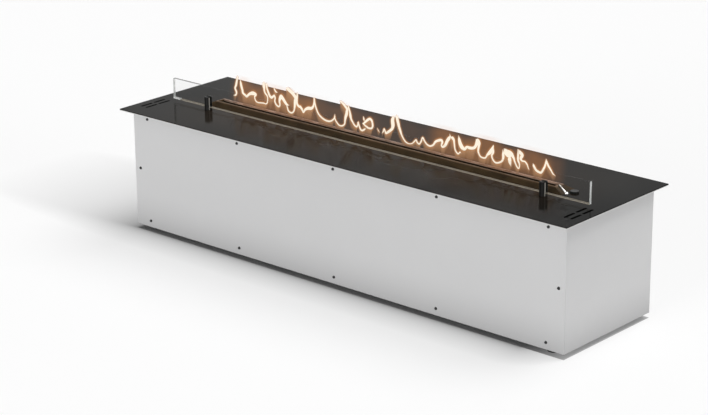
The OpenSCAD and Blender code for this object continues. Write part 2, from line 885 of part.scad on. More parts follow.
module plate_studs() {
    color("silver")
        for (p = concat(rail_studs, trough_studs))
            translate([p.x, p.y, case_z1 - stud_l]) cylinder(d = stud_d, h = stud_l);
}

module plate_nuts() {
    color("silver")
        for (p = concat(rail_studs, trough_studs))
            translate([p.x, p.y, case_z1 - sheet_t - nut_h]) difference() {
                cylinder(d = nut_d, h = nut_h, $fn = hex);
                translate([0, 0, -over]) cylinder(d = stud_d + 2 * run_gap, h = nut_h + 2 * over);
            }
}

module burner_rim() {
    color([0.24, 0.22, 0.19]) difference() {
        union() {
            difference() {
                translate([0, 0, plate_z1]) hip_roof(rim_x, rim_y, rim_end_run, rim_slope_run, rim_h);
                translate([0, 0, plate_z1 - rim_t])
                    hip_roof(rim_x, rim_y, rim_end_run, rim_slope_run, rim_h);
            }
            block([-slot_x - rim_t, -slot_w / 2 - rim_t, collar_z0],
                [slot_x + rim_t, slot_w / 2 + rim_t, rim_z1 - rim_t / 2]);
        }
        block([-slot_x, -slot_w / 2, collar_z0 - over], [slot_x, slot_w / 2, rim_z1 + over]);
    }
}

module heat_shield() {
    flange_z1 = top_row_z + screw_head_d;
    color("silver") difference() {
        union() {
            block([-shield_x, -shield_y, shield_z], [shield_x, shield_y, shield_z + sheet_t]);
            both_sides()
                block([-shield_x, shield_y - sheet_t, shield_z], [shield_x, shield_y, flange_z1]);
        }
        panel_bores();
        down_bores([[filler_x, filler_back]], shield_z + sheet_t, neck_d + 2 * fit_gap, sheet_t);
        down_bores([[port_x, port_offset], [overflow_x, 0]], shield_z + sheet_t,
            hose_d + 2 * fit_gap, sheet_t);
    }
}

module glass_screen() {
    color([0.85, 0.92, 0.9, 0.35])
        block([screen_shift - glass_x, -glass_front - glass_t / 2, glass_z0],
            [screen_shift + glass_x, -glass_front + glass_t / 2, glass_z0 + glass_h]);
}

module post(end) {
    color([0.06, 0.06, 0.06])
        translate([post_shift + end * post_x, -glass_front, 0]) difference() {
            union() {
                translate([0, 0, plate_z1]) cylinder(d = post_d, h = post_h - post_edge);
                translate([0, 0, plate_z1 + post_h - post_edge])
                    cylinder(d1 = post_d, d2 = post_d - 2 * post_edge, h = post_edge);
            }
            block([-post_d, -post_slot_w / 2, post_slot_z],
                [post_d, post_slot_w / 2, plate_z1 + post_h + over]);
            translate([0, 0, plate_z1 - over])
                cylinder(d = post_screw_d + 2 * run_gap, h = post_bore_z1 - plate_z1 + over);
        }
}

module left_post() {
    post(-1);
}

module right_post() {
    post(1);
}

// A liner is a channel that follows the post's round outline
module post_liners() {
    color([0.75, 0.78, 0.76])
        for (end = [-1, 1])
            translate([post_shift + end * post_x, -glass_front, 0]) intersection() {
                difference() {
                    block([-post_d, -liner_out_w / 2, post_slot_z],
                        [post_d, liner_out_w / 2, plate_z1 + post_h - post_edge]);
                    block([-post_d - over, -liner_slot_w / 2, glass_z0],
                        [post_d + over, liner_slot_w / 2, plate_z1 + post_h + over]);
                }
                translate([0, 0, plate_z1]) cylinder(d = post_d, h = post_h);
            }
}

module post_screws() {
    color([0.08, 0.08, 0.08])
        for (end = [-1, 1])
            translate([post_shift + end * post_x, -glass_front, case_z1])
                mirror([0, 0, 1]) screw(post_screw_d, post_screw_l, post_head_d, post_head_h);
}

// Floor plate of the trough, with the heater's saddles and the two hose stubs
module trough_floor() {
    color("silver") difference() {
        union() {
            block([-trough_out_x, -trough_out_y, trough_z0], [trough_out_x, trough_out_y, trough_floor_z]);
            heater_saddles();
            barb([port_x, port_offset, trough_floor_z], barb_l + sheet_t, false);
            barb([overflow_x, 0, trough_floor_z], barb_l + sheet_t, false);
        }
        down_bores([[port_x, port_offset], [overflow_x, 0]], trough_floor_z, barb_bore, barb_l + sheet_t);
        rod([-trough_x, 0, heater_z], [evap_x, 0, heater_z], heater_d + 2 * fit_gap);
    }
}

// Walls of the trough, welded to its floor, with the lip that the weld studs pass through
module burner_trough() {
    color("silver") difference() {
        union() {
            block([-trough_out_x, -trough_out_y, trough_floor_z], [trough_out_x, trough_out_y, case_z1]);
            block([-trough_out_x - trough_lip, -trough_out_y - trough_lip, case_z1 - sheet_t],
                [trough_out_x + trough_lip, trough_out_y + trough_lip, case_z1]);
        }
        block([-trough_x, -trough_w / 2, trough_floor_z - over], [trough_x, trough_w / 2, case_z1 + over]);
        down_bores(trough_studs, case_z1, stud_d + 2 * fit_gap, sheet_t);
        rod([-trough_out_x - over, 0, heater_z], [-trough_x + over, 0, heater_z], heater_d + 2 * fit_gap);
        rod([trough_x - over, -igniter_front, igniter_z], [trough_out_x + over, -igniter_front, igniter_z],
            igniter_d + 2 * fit_gap);
    }
}

// Half-round saddles on the trough's floor
module heater_saddles() {
    pitch = 2 * trough_x / (saddle_count + 1);
    for (i = [1:saddle_count])
        translate([-trough_x + i * pitch, 0, 0])
            block([-saddle_l / 2, -saddle_w / 2, trough_z0], [saddle_l / 2, saddle_w / 2, heater_z]);
}

module evaporator() {
    color("gray") difference() {
        block([-evap_x, -evap_w / 2, trough_floor_z], [evap_x, evap_w / 2, evap_z1]);
        block([-evap_x - over, -evap_w / 2 + sheet_t, trough_floor_z - over],
            [evap_x + over, evap_w / 2 - sheet_t, evap_z1 - sheet_t]);
        down_bores([for (i = [0:evap_holes - 1]) [evap_first_x + i * evap_pitch, 0]], evap_z1,
            evap_hole_d, sheet_t);
    }
}

module heater_rod() {
    collar_share = 1.5;
    color("gray") union() {
        rod([-trough_out_x - heater_tail, 0, heater_z], [evap_x - evap_pitch, 0, heater_z], heater_d);
        rod([-trough_out_x - heater_tail / 2, 0, heater_z], [-trough_out_x, 0, heater_z],
            collar_share * heater_d);
    }
}

module igniter() {
    color("silver") translate([0, -igniter_front, igniter_z]) union() {
        rod([trough_x - igniter_tip_l, 0, 0], [trough_x, 0, 0], igniter_tip_d);
        rod([trough_x, 0, 0], [trough_out_x, 0, 0], igniter_d);
        translate([trough_out_x, 0, 0])
            rotate([0, 90, 0]) cylinder(d = igniter_hex_d, h = igniter_hex_l, $fn = hex);
    }
}

module flame_sensor() {
    tip_share = 0.9;
    ball = [sensor_x, -sensor_front, plate_z1 + sensor_ball_d / 2];
    tip = ball + sensor_vector;
    color([0.9, 0.9, 0.9]) union() {
        rod([sensor_x, -sensor_front, case_z1 - sensor_stem_l], ball, sensor_d);
        rod([sensor_x, -sensor_front, case_z1 - sensor_d], [sensor_x, -sensor_front, case_z1], sensor_ball_d);
        translate(ball) sphere(d = sensor_ball_d);
        rod(ball, tip, sensor_d);
        translate(tip) sphere(d = tip_share * sensor_d);
    }
}

module tank_floor() {
    color("silver") block([tank_x0, -tank_y, floor_z], [tank_x1, tank_y, tank_floor_z1]);
}

module tank() {
    color("silver") difference() {
        union() {
            block([tank_x0, -tank_y, tank_floor_z1], [tank_x1, tank_y, tank_z1]);
            block([tank_x0 - tank_lip, -tank_y - tank_lip, tank_z1 - tank_wall],
                [tank_x1 + tank_lip, tank_y + tank_lip, tank_z1]);
        }
        block([tank_x0 + tank_wall, -tank_y + tank_wall, tank_floor_z1 - over],
            [tank_x1 - tank_wall, tank_y - tank_wall, tank_z1 + over]);
        down_bores(lid_points, tank_z1, stud_d + 2 * fit_gap, tank_wall);
    }
}

module tank_gasket() {
    color([0.15, 0.15, 0.15]) difference() {
        block([tank_x0 - tank_lip, -tank_y - tank_lip, tank_z1],
            [tank_x1 + tank_lip, tank_y + tank_lip, gasket_z1]);
        block([tank_x0 + tank_wall, -tank_y + tank_wall, tank_z1 - over],
            [tank_x1 - tank_wall, tank_y - tank_wall, gasket_z1 + over]);
        down_bores(lid_points, gasket_z1, stud_d + 2 * fit_gap, gasket_t);
    }
}

module tank_lid() {
    color("silver") difference() {
        union() {
            block([tank_x0 - tank_lip, -tank_y - tank_lip, gasket_z1],
                [tank_x1 + tank_lip, tank_y + tank_lip, lid_z1]);
            barb([overflow_x, 0, gasket_z1], lid_t + barb_l, true);
        }
        down_bores(lid_points, lid_z1, stud_d + 2 * fit_gap, lid_t);
        down_bores([[level_x, 0]], lid_z1, level_hole_d, lid_t);
        down_bores([[filler_x, filler_back]], lid_z1, neck_d + 2 * fit_gap, lid_t);
        down_bores([[dip_x, -port_offset]], lid_z1, barb_d + 2 * fit_gap, lid_t);
        down_bores([[overflow_x, 0]], lid_z1 + barb_l, barb_bore, lid_t + barb_l);
    }
}

module tank_lid_screws() {
    color("gray")
        for (p = lid_points)
            translate([p.x, p.y, lid_z1]) screw(stud_d, lid_screw_l, lid_head_share * stud_d, nut_h / 2);
}

module tank_straps() {
    color("silver")
        for (share = strap_shares)
            translate([tank_x0 + share * tank_l - strap_w / 2, 0, 0]) union() {
                block([0, -strap_y - strap_t, lid_z1], [strap_w, strap_y + strap_t, lid_z1 + strap_t]);
                both_sides() {
                    block([0, strap_y, floor_z], [strap_w, strap_y + strap_t, lid_z1 + strap_t]);
                    block([0, strap_y, floor_z], [strap_w, strap_y + strap_foot, floor_z + strap_t]);
                }
            }
}

module filler_neck() {
    color("silver") translate([filler_x, filler_back, 0]) difference() {
        union() {
            translate([0, 0, gasket_z1 - neck_reach])
                cylinder(d = neck_d, h = neck_z1 - gasket_z1 + neck_reach);
            translate([0, 0, lid_z1]) cylinder(d = neck_flange_d, h = neck_flange_t);
        }
        translate([0, 0, gasket_z1 - neck_reach - over])
            cylinder(d = neck_bore, h = neck_z1 - gasket_z1 + neck_reach + 2 * over);
    }
}

// The cap slips over the neck's end, notched round its edge for the fingers
module filler_cap() {
    color([0.06, 0.06, 0.06]) translate([filler_x, filler_back, plate_z1]) difference() {
        cylinder(d = cap_d, h = cap_bore_h + cap_t);
        translate([0, 0, -over]) cylinder(d = neck_d + 2 * fit_gap, h = cap_bore_h + over);
        for (i = [0:grip_count - 1])
            rotate(i * 360 / grip_count)
                translate([(cap_d + grip_d) / 2 - grip_depth, 0, -over])
                    cylinder(d = grip_d, h = cap_bore_h + cap_t + 2 * over);
    }
}

module cap_seal() {
    color([0.35, 0.12, 0.1])
        translate([filler_x, filler_back, neck_z1]) difference() {
            cylinder(d = neck_d, h = seal_t);
            translate([0, 0, -over]) cylinder(d = neck_bore, h = seal_t + 2 * over);
        }
}

module level_sensor() {
    color("silver") translate([level_x, 0, 0]) union() {
        translate([0, 0, lid_z1]) cylinder(d = level_flange_d, h = level_flange_t);
        translate([0, 0, lid_z1]) cylinder(d = level_head_d, h = level_z1 - lid_z1);
        translate([0, 0, level_z0]) cylinder(d = level_stem_d, h = lid_z1 - level_z0);
        translate([0, 0, level_z0]) cylinder(d = level_collar_d, h = level_collar_h);
        translate([0, 0, float_z1]) cylinder(d = level_collar_d, h = level_collar_h);
    }
}

module level_float() {
    color("white") translate([level_x, 0, float_z0]) difference() {
        cylinder(d = float_d, h = float_h);
        translate([0, 0, -over]) cylinder(d = level_stem_d + 2 * slip_gap, h = float_h + 2 * over);
    }
}

module dip_tube() {
    color("silver") translate([dip_x, -port_offset, 0]) difference() {
        union() {
            translate([0, 0, dip_z0]) cylinder(d = barb_d, h = lid_z1 + barb_l - dip_z0);
            translate([0, 0, tank_z1]) cylinder(d = 2 * barb_d, h = gasket_t);
        }
        translate([0, 0, dip_z0 - over]) cylinder(d = barb_bore, h = lid_z1 + barb_l - dip_z0 + 2 * over);
    }
}

module suction_hose() {
    color([0.3, 0.3, 0.32])
        hose([[dip_x, -port_offset, lid_z1 + hose_seat], [dip_x, -port_offset, suction_z],
            [port_x, -port_offset, suction_z], [port_x, -port_offset, pump_z + head_d / 2 + hose_seat]]);
}

module feed_hose() {
    color([0.3, 0.3, 0.32])
        hose([[port_x, port_offset, pump_z + head_d / 2 + hose_seat],
            [port_x, port_offset, trough_z0 - hose_seat]]);
}

module overflow_hose() {
    color([0.3, 0.3, 0.32])
        hose([[overflow_x, 0, lid_z1 + hose_seat], [overflow_x, 0, trough_z0 - hose_seat]]);
}

module pump_bracket() {
    foot_y = bracket_w / 2 + bracket_foot_w;
    color("silver") difference() {
        union() {
            block([bracket_x1 - bracket_l, -bracket_w / 2, floor_z], [bracket_x1, bracket_w / 2, pump_z]);
            block([bracket_x1 - bracket_l, -foot_y, floor_z], [bracket_x1, foot_y, floor_z + bracket_t]);
        }
        rod([motor_x0 - over, 0, pump_z], [pump_x0 + over, 0, pump_z], motor_d + 2 * fit_gap);
        for (side = [-1, 1])
            translate([bracket_x1 - bracket_l / 2, side * (foot_y - bracket_foot_w / 2), floor_z - over])
                cylinder(d = stud_d, h = bracket_t + 2 * over);
    }
}

module pump_motor() {
    color([0.55, 0.56, 0.58]) difference() {
        union() {
            rod([motor_x0, 0, pump_z], [pump_x0, 0, pump_z], motor_d);
            for (side = [-1, 1])
                rod([motor_x0 - terminal_l, side * terminal_y, pump_z], [motor_x0, side * terminal_y, pump_z],
                    terminal_d);
        }
        rod([pump_x0 - shaft_l - over, 0, pump_z], [pump_x0 + over, 0, pump_z], shaft_d + 2 * run_gap);
    }
}

module pump_head() {
    color([0.2, 0.2, 0.22]) difference() {
        union() {
            rod([pump_x0, 0, pump_z], [pump_x1, 0, pump_z], head_d);
            for (side = [-1, 1]) barb([port_x, side * port_offset, pump_z], port_top_z - pump_z, true);
        }
        rod([pump_x0 - over, 0, pump_z], [pump_x0 + chamber_l, 0, pump_z], chamber_d);
        for (side = [-1, 1])
            rod([port_x, side * port_offset, pump_z], [port_x, side * port_offset, port_top_z + over],
                barb_bore);
    }
}

module pump_rotor() {
    rotor_r = chamber_d / 2 - rotor_gap;
    rotor_l = chamber_l - 2 * rotor_gap;
    color("gold") union() {
        rod([pump_x0 - shaft_l, 0, pump_z], [pump_x0 + rotor_gap + rotor_l, 0, pump_z], shaft_d);
        translate([pump_x0 + rotor_gap, 0, pump_z]) rotate([0, 90, 0]) {
            cylinder(d = rotor_hub_d, h = rotor_l);
            for (i = [0:vane_count - 1])
                rotate(i * 360 / vane_count)
                    block([0, -vane_t / 2, 0], [rotor_r, vane_t / 2, rotor_l]);
        }
    }
}

// Corner places of a rectangle between two corners, drawn in by an inset
function corner_points(x0, x1, y, inset) =
    [for (x = [x0 + inset, x1 - inset], side = [-1, 1]) [x, side * (y - inset)]];

module control_box() {
    color([0.25, 0.27, 0.3]) difference() {
        union() {
            difference() {
                block([control_x0, -control_y, floor_z], [control_x1, control_y, control_z1]);
                block([control_x0 + box_wall, -control_y + box_wall, floor_z + box_wall],
                    [control_x1 - box_wall, control_y - box_wall, control_z1 + over]);
            }
            for (p = corner_points(control_x0, control_x1, control_y, standoff_inset))
                translate([p.x, p.y, floor_z]) cylinder(d = standoff_d, h = box_wall + standoff_h);
        }
        rod([control_x1 - box_wall - over, loom_entry_y, loom_z], [control_x1 + over, loom_entry_y, loom_z],
            loom_d + 2 * fit_gap);
        for (side = [-1, 1])
            rod([control_x1 - box_wall - over, side * terminal_y, pump_z],
                [control_x1 + over, side * terminal_y, pump_z], lead_d + 2 * fit_gap);
    }
}

module control_box_lid() {
    color([0.25, 0.27, 0.3])
        block([control_x0, -control_y, control_z1], [control_x1, control_y, control_z1 + box_wall]);
}

module control_board() {
    board_z0 = floor_z + box_wall + standoff_h;
    board_z1 = board_z0 + board_t;
    edge = box_wall + board_gap;
    chip_x = (control_x0 + control_x1) / 2;
    color([0.05, 0.3, 0.15]) difference() {
        union() {
            block([control_x0 + edge, -control_y + edge, board_z0],
                [control_x1 - edge, control_y - edge, board_z1]);
            for (i = [0:block_count - 1])
                translate([control_x0 + edge + standoff_inset + i * 3 * block_w / 2,
                        -control_y + edge + standoff_inset, board_z1])
                    cube([block_w, block_w, block_h]);
            translate([chip_x, 0, board_z1]) cube([2 * block_w, block_w, board_t]);
            for (side = [-1, 1])
                translate([chip_x - block_w, side * block_w, board_z1])
                    cylinder(d = block_w, h = capacitor_h);
        }
        for (p = corner_points(control_x0, control_x1, control_y, standoff_inset))
            translate([p.x, p.y, board_z0 - over]) cylinder(d = screw_d, h = board_t + 2 * over);
    }
}

module power_supply() {
    rib_pitch = supply_l / (supply_rib_count + 1);
    color([0.6, 0.62, 0.63]) union() {
        difference() {
            block([supply_x0, -supply_y, floor_z], [supply_x1, supply_y, supply_z1]);
            for (i = [1:supply_rib_count])
                block([supply_x0 + i * rib_pitch - supply_rib_w / 2, -supply_y / 2,
                        supply_z1 - supply_rib_depth],
                    [supply_x0 + i * rib_pitch + supply_rib_w / 2, supply_y / 2, supply_z1 + over]);
        }
        block([supply_x0, supply_y, floor_z], [supply_x1, supply_y + block_w, floor_z + block_h]);
    }
}

// The trunk takes in the leads that end at its centre line; the other leads are solids of their own
module wiring_loom() {
    color([0.1, 0.1, 0.1]) union() {
        bent_bar(trunk_route, loom_bend, loom_d);
        for (route = lead_routes) bent_bar(route, lead_bend, lead_d);
    }
}

module mains_inlet() {
    color([0.08, 0.08, 0.08]) translate([inlet_x, rear_y, socket_z]) difference() {
        union() {
            wall_block(inlet_flange);
            translate([0, inlet_flange.y - inlet_body.y, 0]) wall_block(inlet_body);
        }
        difference() {
            translate([0, inlet_flange.y - inlet_recess.y, 0])
                wall_block([inlet_recess.x, inlet_recess.y + over, inlet_recess.z]);
            for (column = [-1, 0, 1])
                translate([column * inlet_pin_pitch, inlet_flange.y - inlet_recess.y - over,
                        column == 0 ? inlet_pin.z / 2 : -inlet_pin.z / 2])
                    wall_block([inlet_pin.x, inlet_pin.y + over, inlet_pin.z]);
        }
        for (end = [-1, 1])
            translate([end * inlet_screw_x, 0, 0])
                rotate([90, 0, 0])
                    cylinder(d = screw_d + 2 * fit_gap, h = 2 * (inlet_flange.y + over), center = true);
    }
}

// The rocker turns about an upright pin inside the pocket
module switch_housing() {
    pocket = [rocker_l + 2 * rocker_gap, rocker_sink + rocker_back + 2 * rocker_gap, rocker_w + 2 * slip_gap];
    pin_bore_l = rocker_w + 2 * (rocker_pin_l + slip_gap);
    color([0.08, 0.08, 0.08]) translate([switch_x, rear_y, socket_z]) difference() {
        union() {
            wall_block(switch_flange);
            translate([0, switch_flange.y - switch_body.y, 0]) wall_block(switch_body);
        }
        translate([0, switch_flange.y - pocket.y, 0]) wall_block([pocket.x, pocket.y + over, pocket.z]);
        translate([0, rocker_y - rear_y, 0])
            cylinder(d = rocker_pin_d + 2 * run_gap, h = pin_bore_l, center = true);
    }
}

// Stored pressed in on its -X half
module rocker_switch() {
    half_l = rocker_l / 2;
    top = rocker_sink + rocker_rise;
    color([0.12, 0.12, 0.12]) translate([switch_x, rocker_y, socket_z]) rotate(rocker_tilt) union() {
        linear_extrude(rocker_w, center = true)
            polygon([[-half_l, 0], [-half_l / 2, -rocker_back], [half_l / 2, -rocker_back], [half_l, 0],
                [half_l, top], [0, top - rocker_dish], [-half_l, top]]);
        cylinder(d = rocker_pin_d, h = rocker_w + 2 * rocker_pin_l, center = true);
    }
}

module button_housing() {
    color([0.08, 0.08, 0.08]) translate([button_x, rear_y, socket_z]) rotate([-90, 0, 0]) difference() {
        union() {
            cylinder(d = button_flange_d, h = button_flange_t);
            translate([0, 0, -button_body_l]) cylinder(d = button_body_d, h = button_body_l);
        }
        translate([0, 0, -button_wall - over])
            cylinder(d = button_d + 2 * slip_gap, h = button_wall + button_flange_t + 2 * over);
        translate([0, 0, -button_wall - button_well])
            cylinder(d = button_collar_d + 2 * slip_gap, h = button_well);
    }
}

// The collar rests under the housing's shoulder, and the button moves to -Y when pressed
module start_button() {
    color([0.7, 0.1, 0.08]) translate([button_x, rear_y, socket_z]) rotate([-90, 0, 0]) union() {
        translate([0, 0, -button_wall])
            cylinder(d = button_d, h = button_wall + button_flange_t + button_proud);
        translate([0, 0, -button_wall - button_collar_t]) cylinder(d = button_collar_d, h = button_collar_t);
    }
}

module fan_bracket() {
    color("silver") difference() {
        union() {
            block([fan_x - fan_w / 2, fan_y - fan_w / 2, fan_z0 - sheet_t],
                [pan_x, fan_y + fan_w / 2, fan_z0]);
            block([pan_x - sheet_t, fan_y - fan_w / 2, fan_z0 - fan_leg_h],
                [pan_x, fan_y + fan_w / 2, fan_z0]);
        }
        down_bores([[fan_x, fan_y]], fan_z0, fan_bore_d, sheet_t);
        fan_bores(fan_z0 - sheet_t - over, sheet_t + 2 * over);
    }
}

module fan_bores(z, height) {
    reach = fan_w / 2 - fan_hole_inset;
    for (end = [-1, 1], side = [-1, 1])
        translate([fan_x + end * reach, fan_y + side * reach, z]) cylinder(d = fan_hole_d, h = height);
}

module fan_frame() {
    color([0.1, 0.1, 0.1]) difference() {
        union() {
            difference() {
                block([fan_x - fan_w / 2, fan_y - fan_w / 2, fan_z0],
                    [fan_x + fan_w / 2, fan_y + fan_w / 2, fan_z0 + fan_t]);
                translate([fan_x, fan_y, fan_z0 - over]) cylinder(d = fan_bore_d, h = fan_t + 2 * over);
            }
            translate([fan_x, fan_y, fan_z0]) {
                cylinder(d = fan_hub_d, h = fan_floor_t);
                cylinder(d = fan_pin_d, h = rotor_bore_z1 - rotor_lift - fan_z0);
                for (turn = [45, 135])
                    rotate(turn)
                        block([-fan_bore_d / 2 - fan_wall / 2, -fan_arm_w / 2, 0],
                            [fan_bore_d / 2 + fan_wall / 2, fan_arm_w / 2, fan_floor_t]);
            }
        }
        fan_bores(fan_z0 - over, fan_t + 2 * over);
    }
}

module fan_rotor() {
    rotor_h = rotor_z1 - rotor_z0;
    tip_r = fan_bore_d / 2 - fan_tip_gap;
    color([0.15, 0.15, 0.15]) translate([fan_x, fan_y, rotor_z0]) difference() {
        union() {
            cylinder(d = fan_hub_d, h = rotor_h);
            intersection() {
                cylinder(r = tip_r, h = rotor_h);
                for (i = [0:blade_count - 1])
                    rotate(i * 360 / blade_count)
                        translate([0, 0, rotor_h / 2]) rotate([blade_tilt, 0, 0])
                            translate([0, -blade_chord / 2, -blade_t / 2])
                                cube([fan_bore_d / 2, blade_chord, blade_t]);
            }
        }
        translate([0, 0, -over]) cylinder(d = fan_pin_d + 2 * run_gap, h = rotor_bore_z1 - rotor_z0 + over);
    }
}

base_pan();
front_panel();
rear_panel();
left_end_panel();
right_end_panel();
front_top_rail();
rear_top_rail();
case_screws();
foot_front_left();
foot_front_right();
foot_rear_left();
foot_rear_right();
top_plate();
plate_studs();
plate_nuts();
burner_rim();
heat_shield();
glass_screen();
left_post();
right_post();
post_liners();
post_screws();
trough_floor();
burner_trough();
evaporator();
heater_rod();
igniter();
flame_sensor();
tank_floor();
tank();
tank_gasket();
tank_lid();
tank_lid_screws();
tank_straps();
filler_neck();
filler_cap();
cap_seal();
level_sensor();
level_float();
dip_tube();
suction_hose();
feed_hose();
overflow_hose();
pump_bracket();
pump_motor();
pump_head();
pump_rotor();
control_box();
control_box_lid();
control_board();
power_supply();
wiring_loom();
mains_inlet();
switch_housing();
rocker_switch();
button_housing();
start_button();
fan_bracket();
fan_frame();
fan_rotor();
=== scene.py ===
"""Bioethanol fireplace: finishes, flames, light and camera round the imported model."""

import json
import math

import bmesh
import bpy
from mathutils import Matrix, Vector, noise


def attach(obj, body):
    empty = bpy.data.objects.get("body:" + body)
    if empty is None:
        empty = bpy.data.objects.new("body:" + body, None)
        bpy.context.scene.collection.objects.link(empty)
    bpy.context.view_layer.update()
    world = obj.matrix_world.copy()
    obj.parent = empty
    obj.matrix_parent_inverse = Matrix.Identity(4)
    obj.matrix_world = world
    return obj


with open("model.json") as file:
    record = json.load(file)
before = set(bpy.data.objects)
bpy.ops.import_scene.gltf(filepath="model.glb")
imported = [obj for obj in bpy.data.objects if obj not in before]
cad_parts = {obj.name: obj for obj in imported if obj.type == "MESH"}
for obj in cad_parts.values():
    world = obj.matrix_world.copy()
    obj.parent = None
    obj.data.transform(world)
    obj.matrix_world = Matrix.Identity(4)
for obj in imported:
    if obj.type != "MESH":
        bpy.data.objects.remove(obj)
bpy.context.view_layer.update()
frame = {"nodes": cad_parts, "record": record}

MM = 0.001

# Heights and lengths of the real thing, in metres in the row frame
PLATE_TOP = 0.231
PLATE_HALF = (0.5, 0.14)
CASE_HALF = (0.486, 0.119)
RIDGE = 0.239
SLOT_BACK = 0.0075
HAZE_TOP = 0.2905
GLASS_LEFT = -0.4615
GLASS_FOOT = 0.236
# The painted highlight line on a post: where it lies from front to back, and how far its normal points to
# the right
POST_LINE_DEPTH = (-0.0455, -0.0408)
POST_LINE_TURN = (0.78, 0.882)
# The liners' painted lip highlight lies in front of this place
LINER_LIP = -0.0404
# The sensor turns from bright to dark between these heights
SENSOR_DARKENS = (0.2365, 0.242)
# Painted shade near the casing's foot fades out between these heights
LOW_SHADE = (0.008, 0.085)
# The plate's painted flame glow, a warm brown, fades between these distances from the middle
GLOW_ALONG = (0.3, 0.47)
GLOW_ACROSS = (0.02, 0.14)
# The painted glow grows paler toward the front between these two places
BEFORE_SCREEN = (-0.02, -0.07)
# The plate's bare cut edge: how far in from the outline it lies, and the depths between which it ends
CUT_IN = 1.5 * MM
CUT_DEPTH = (1.9 * MM, 1.5 * MM)
# Depths under the ridge between which the rim's land with its painted highlight starts, and the painted
# flame glow on the wall of its slot
LAND_DEPTH = (1.5 * MM, 0.2 * MM)
WALL_GLOW_DEPTH = (4.0 * MM, 2.5 * MM)
WALL_NEAR = 0.5 * MM
# The painted highlight strip at the glass's foot is this high at the left end and along the rest, and
# changes between the two places, which are measured from the glass's left end
STRIP_HIGH, STRIP_LOW = 1.8 * MM, 0.8 * MM
STRIP_CHANGE = (15.0 * MM, 17.0 * MM)
# The painted white reflection at the left end of the glass's foot reaches this far along
WHITE_END = 16.0 * MM
# The glass's top edge is painted dark up to here from its left end, where white lies behind it
DARK_TOP = (64.0 * MM, 74.0 * MM)
POST_LINE_FOOT = 0.3 * MM

# Nearly all of a noise lies between these two values
NOISE_RANGE = (0.3, 0.7)

# The photograph's camera: its frame and focal length in pixels, its place in metres, and the way it looks
PHOTO_W, PHOTO_H = 708, 415
FOCAL_PX = 2226.18
EYE = (2.3845, -2.7698, 1.3764)
AZIMUTH, ELEVATION, ROLL = (math.radians(a) for a in (41.408, 19.028, -0.398))
BACK = (math.sin(AZIMUTH) * math.cos(ELEVATION), -math.cos(AZIMUTH) * math.cos(ELEVATION),
        math.sin(ELEVATION))
LEVEL_RIGHT = (math.cos(AZIMUTH), math.sin(AZIMUTH), 0.0)
LEVEL_UP = (-math.sin(ELEVATION) * math.sin(AZIMUTH), math.sin(ELEVATION) * math.cos(AZIMUTH),
            math.cos(ELEVATION))
RIGHT = tuple(math.cos(ROLL) * r + math.sin(ROLL) * u for r, u in zip(LEVEL_RIGHT, LEVEL_UP))
UP = tuple(math.cos(ROLL) * u - math.sin(ROLL) * r for r, u in zip(LEVEL_RIGHT, LEVEL_UP))


# Materials

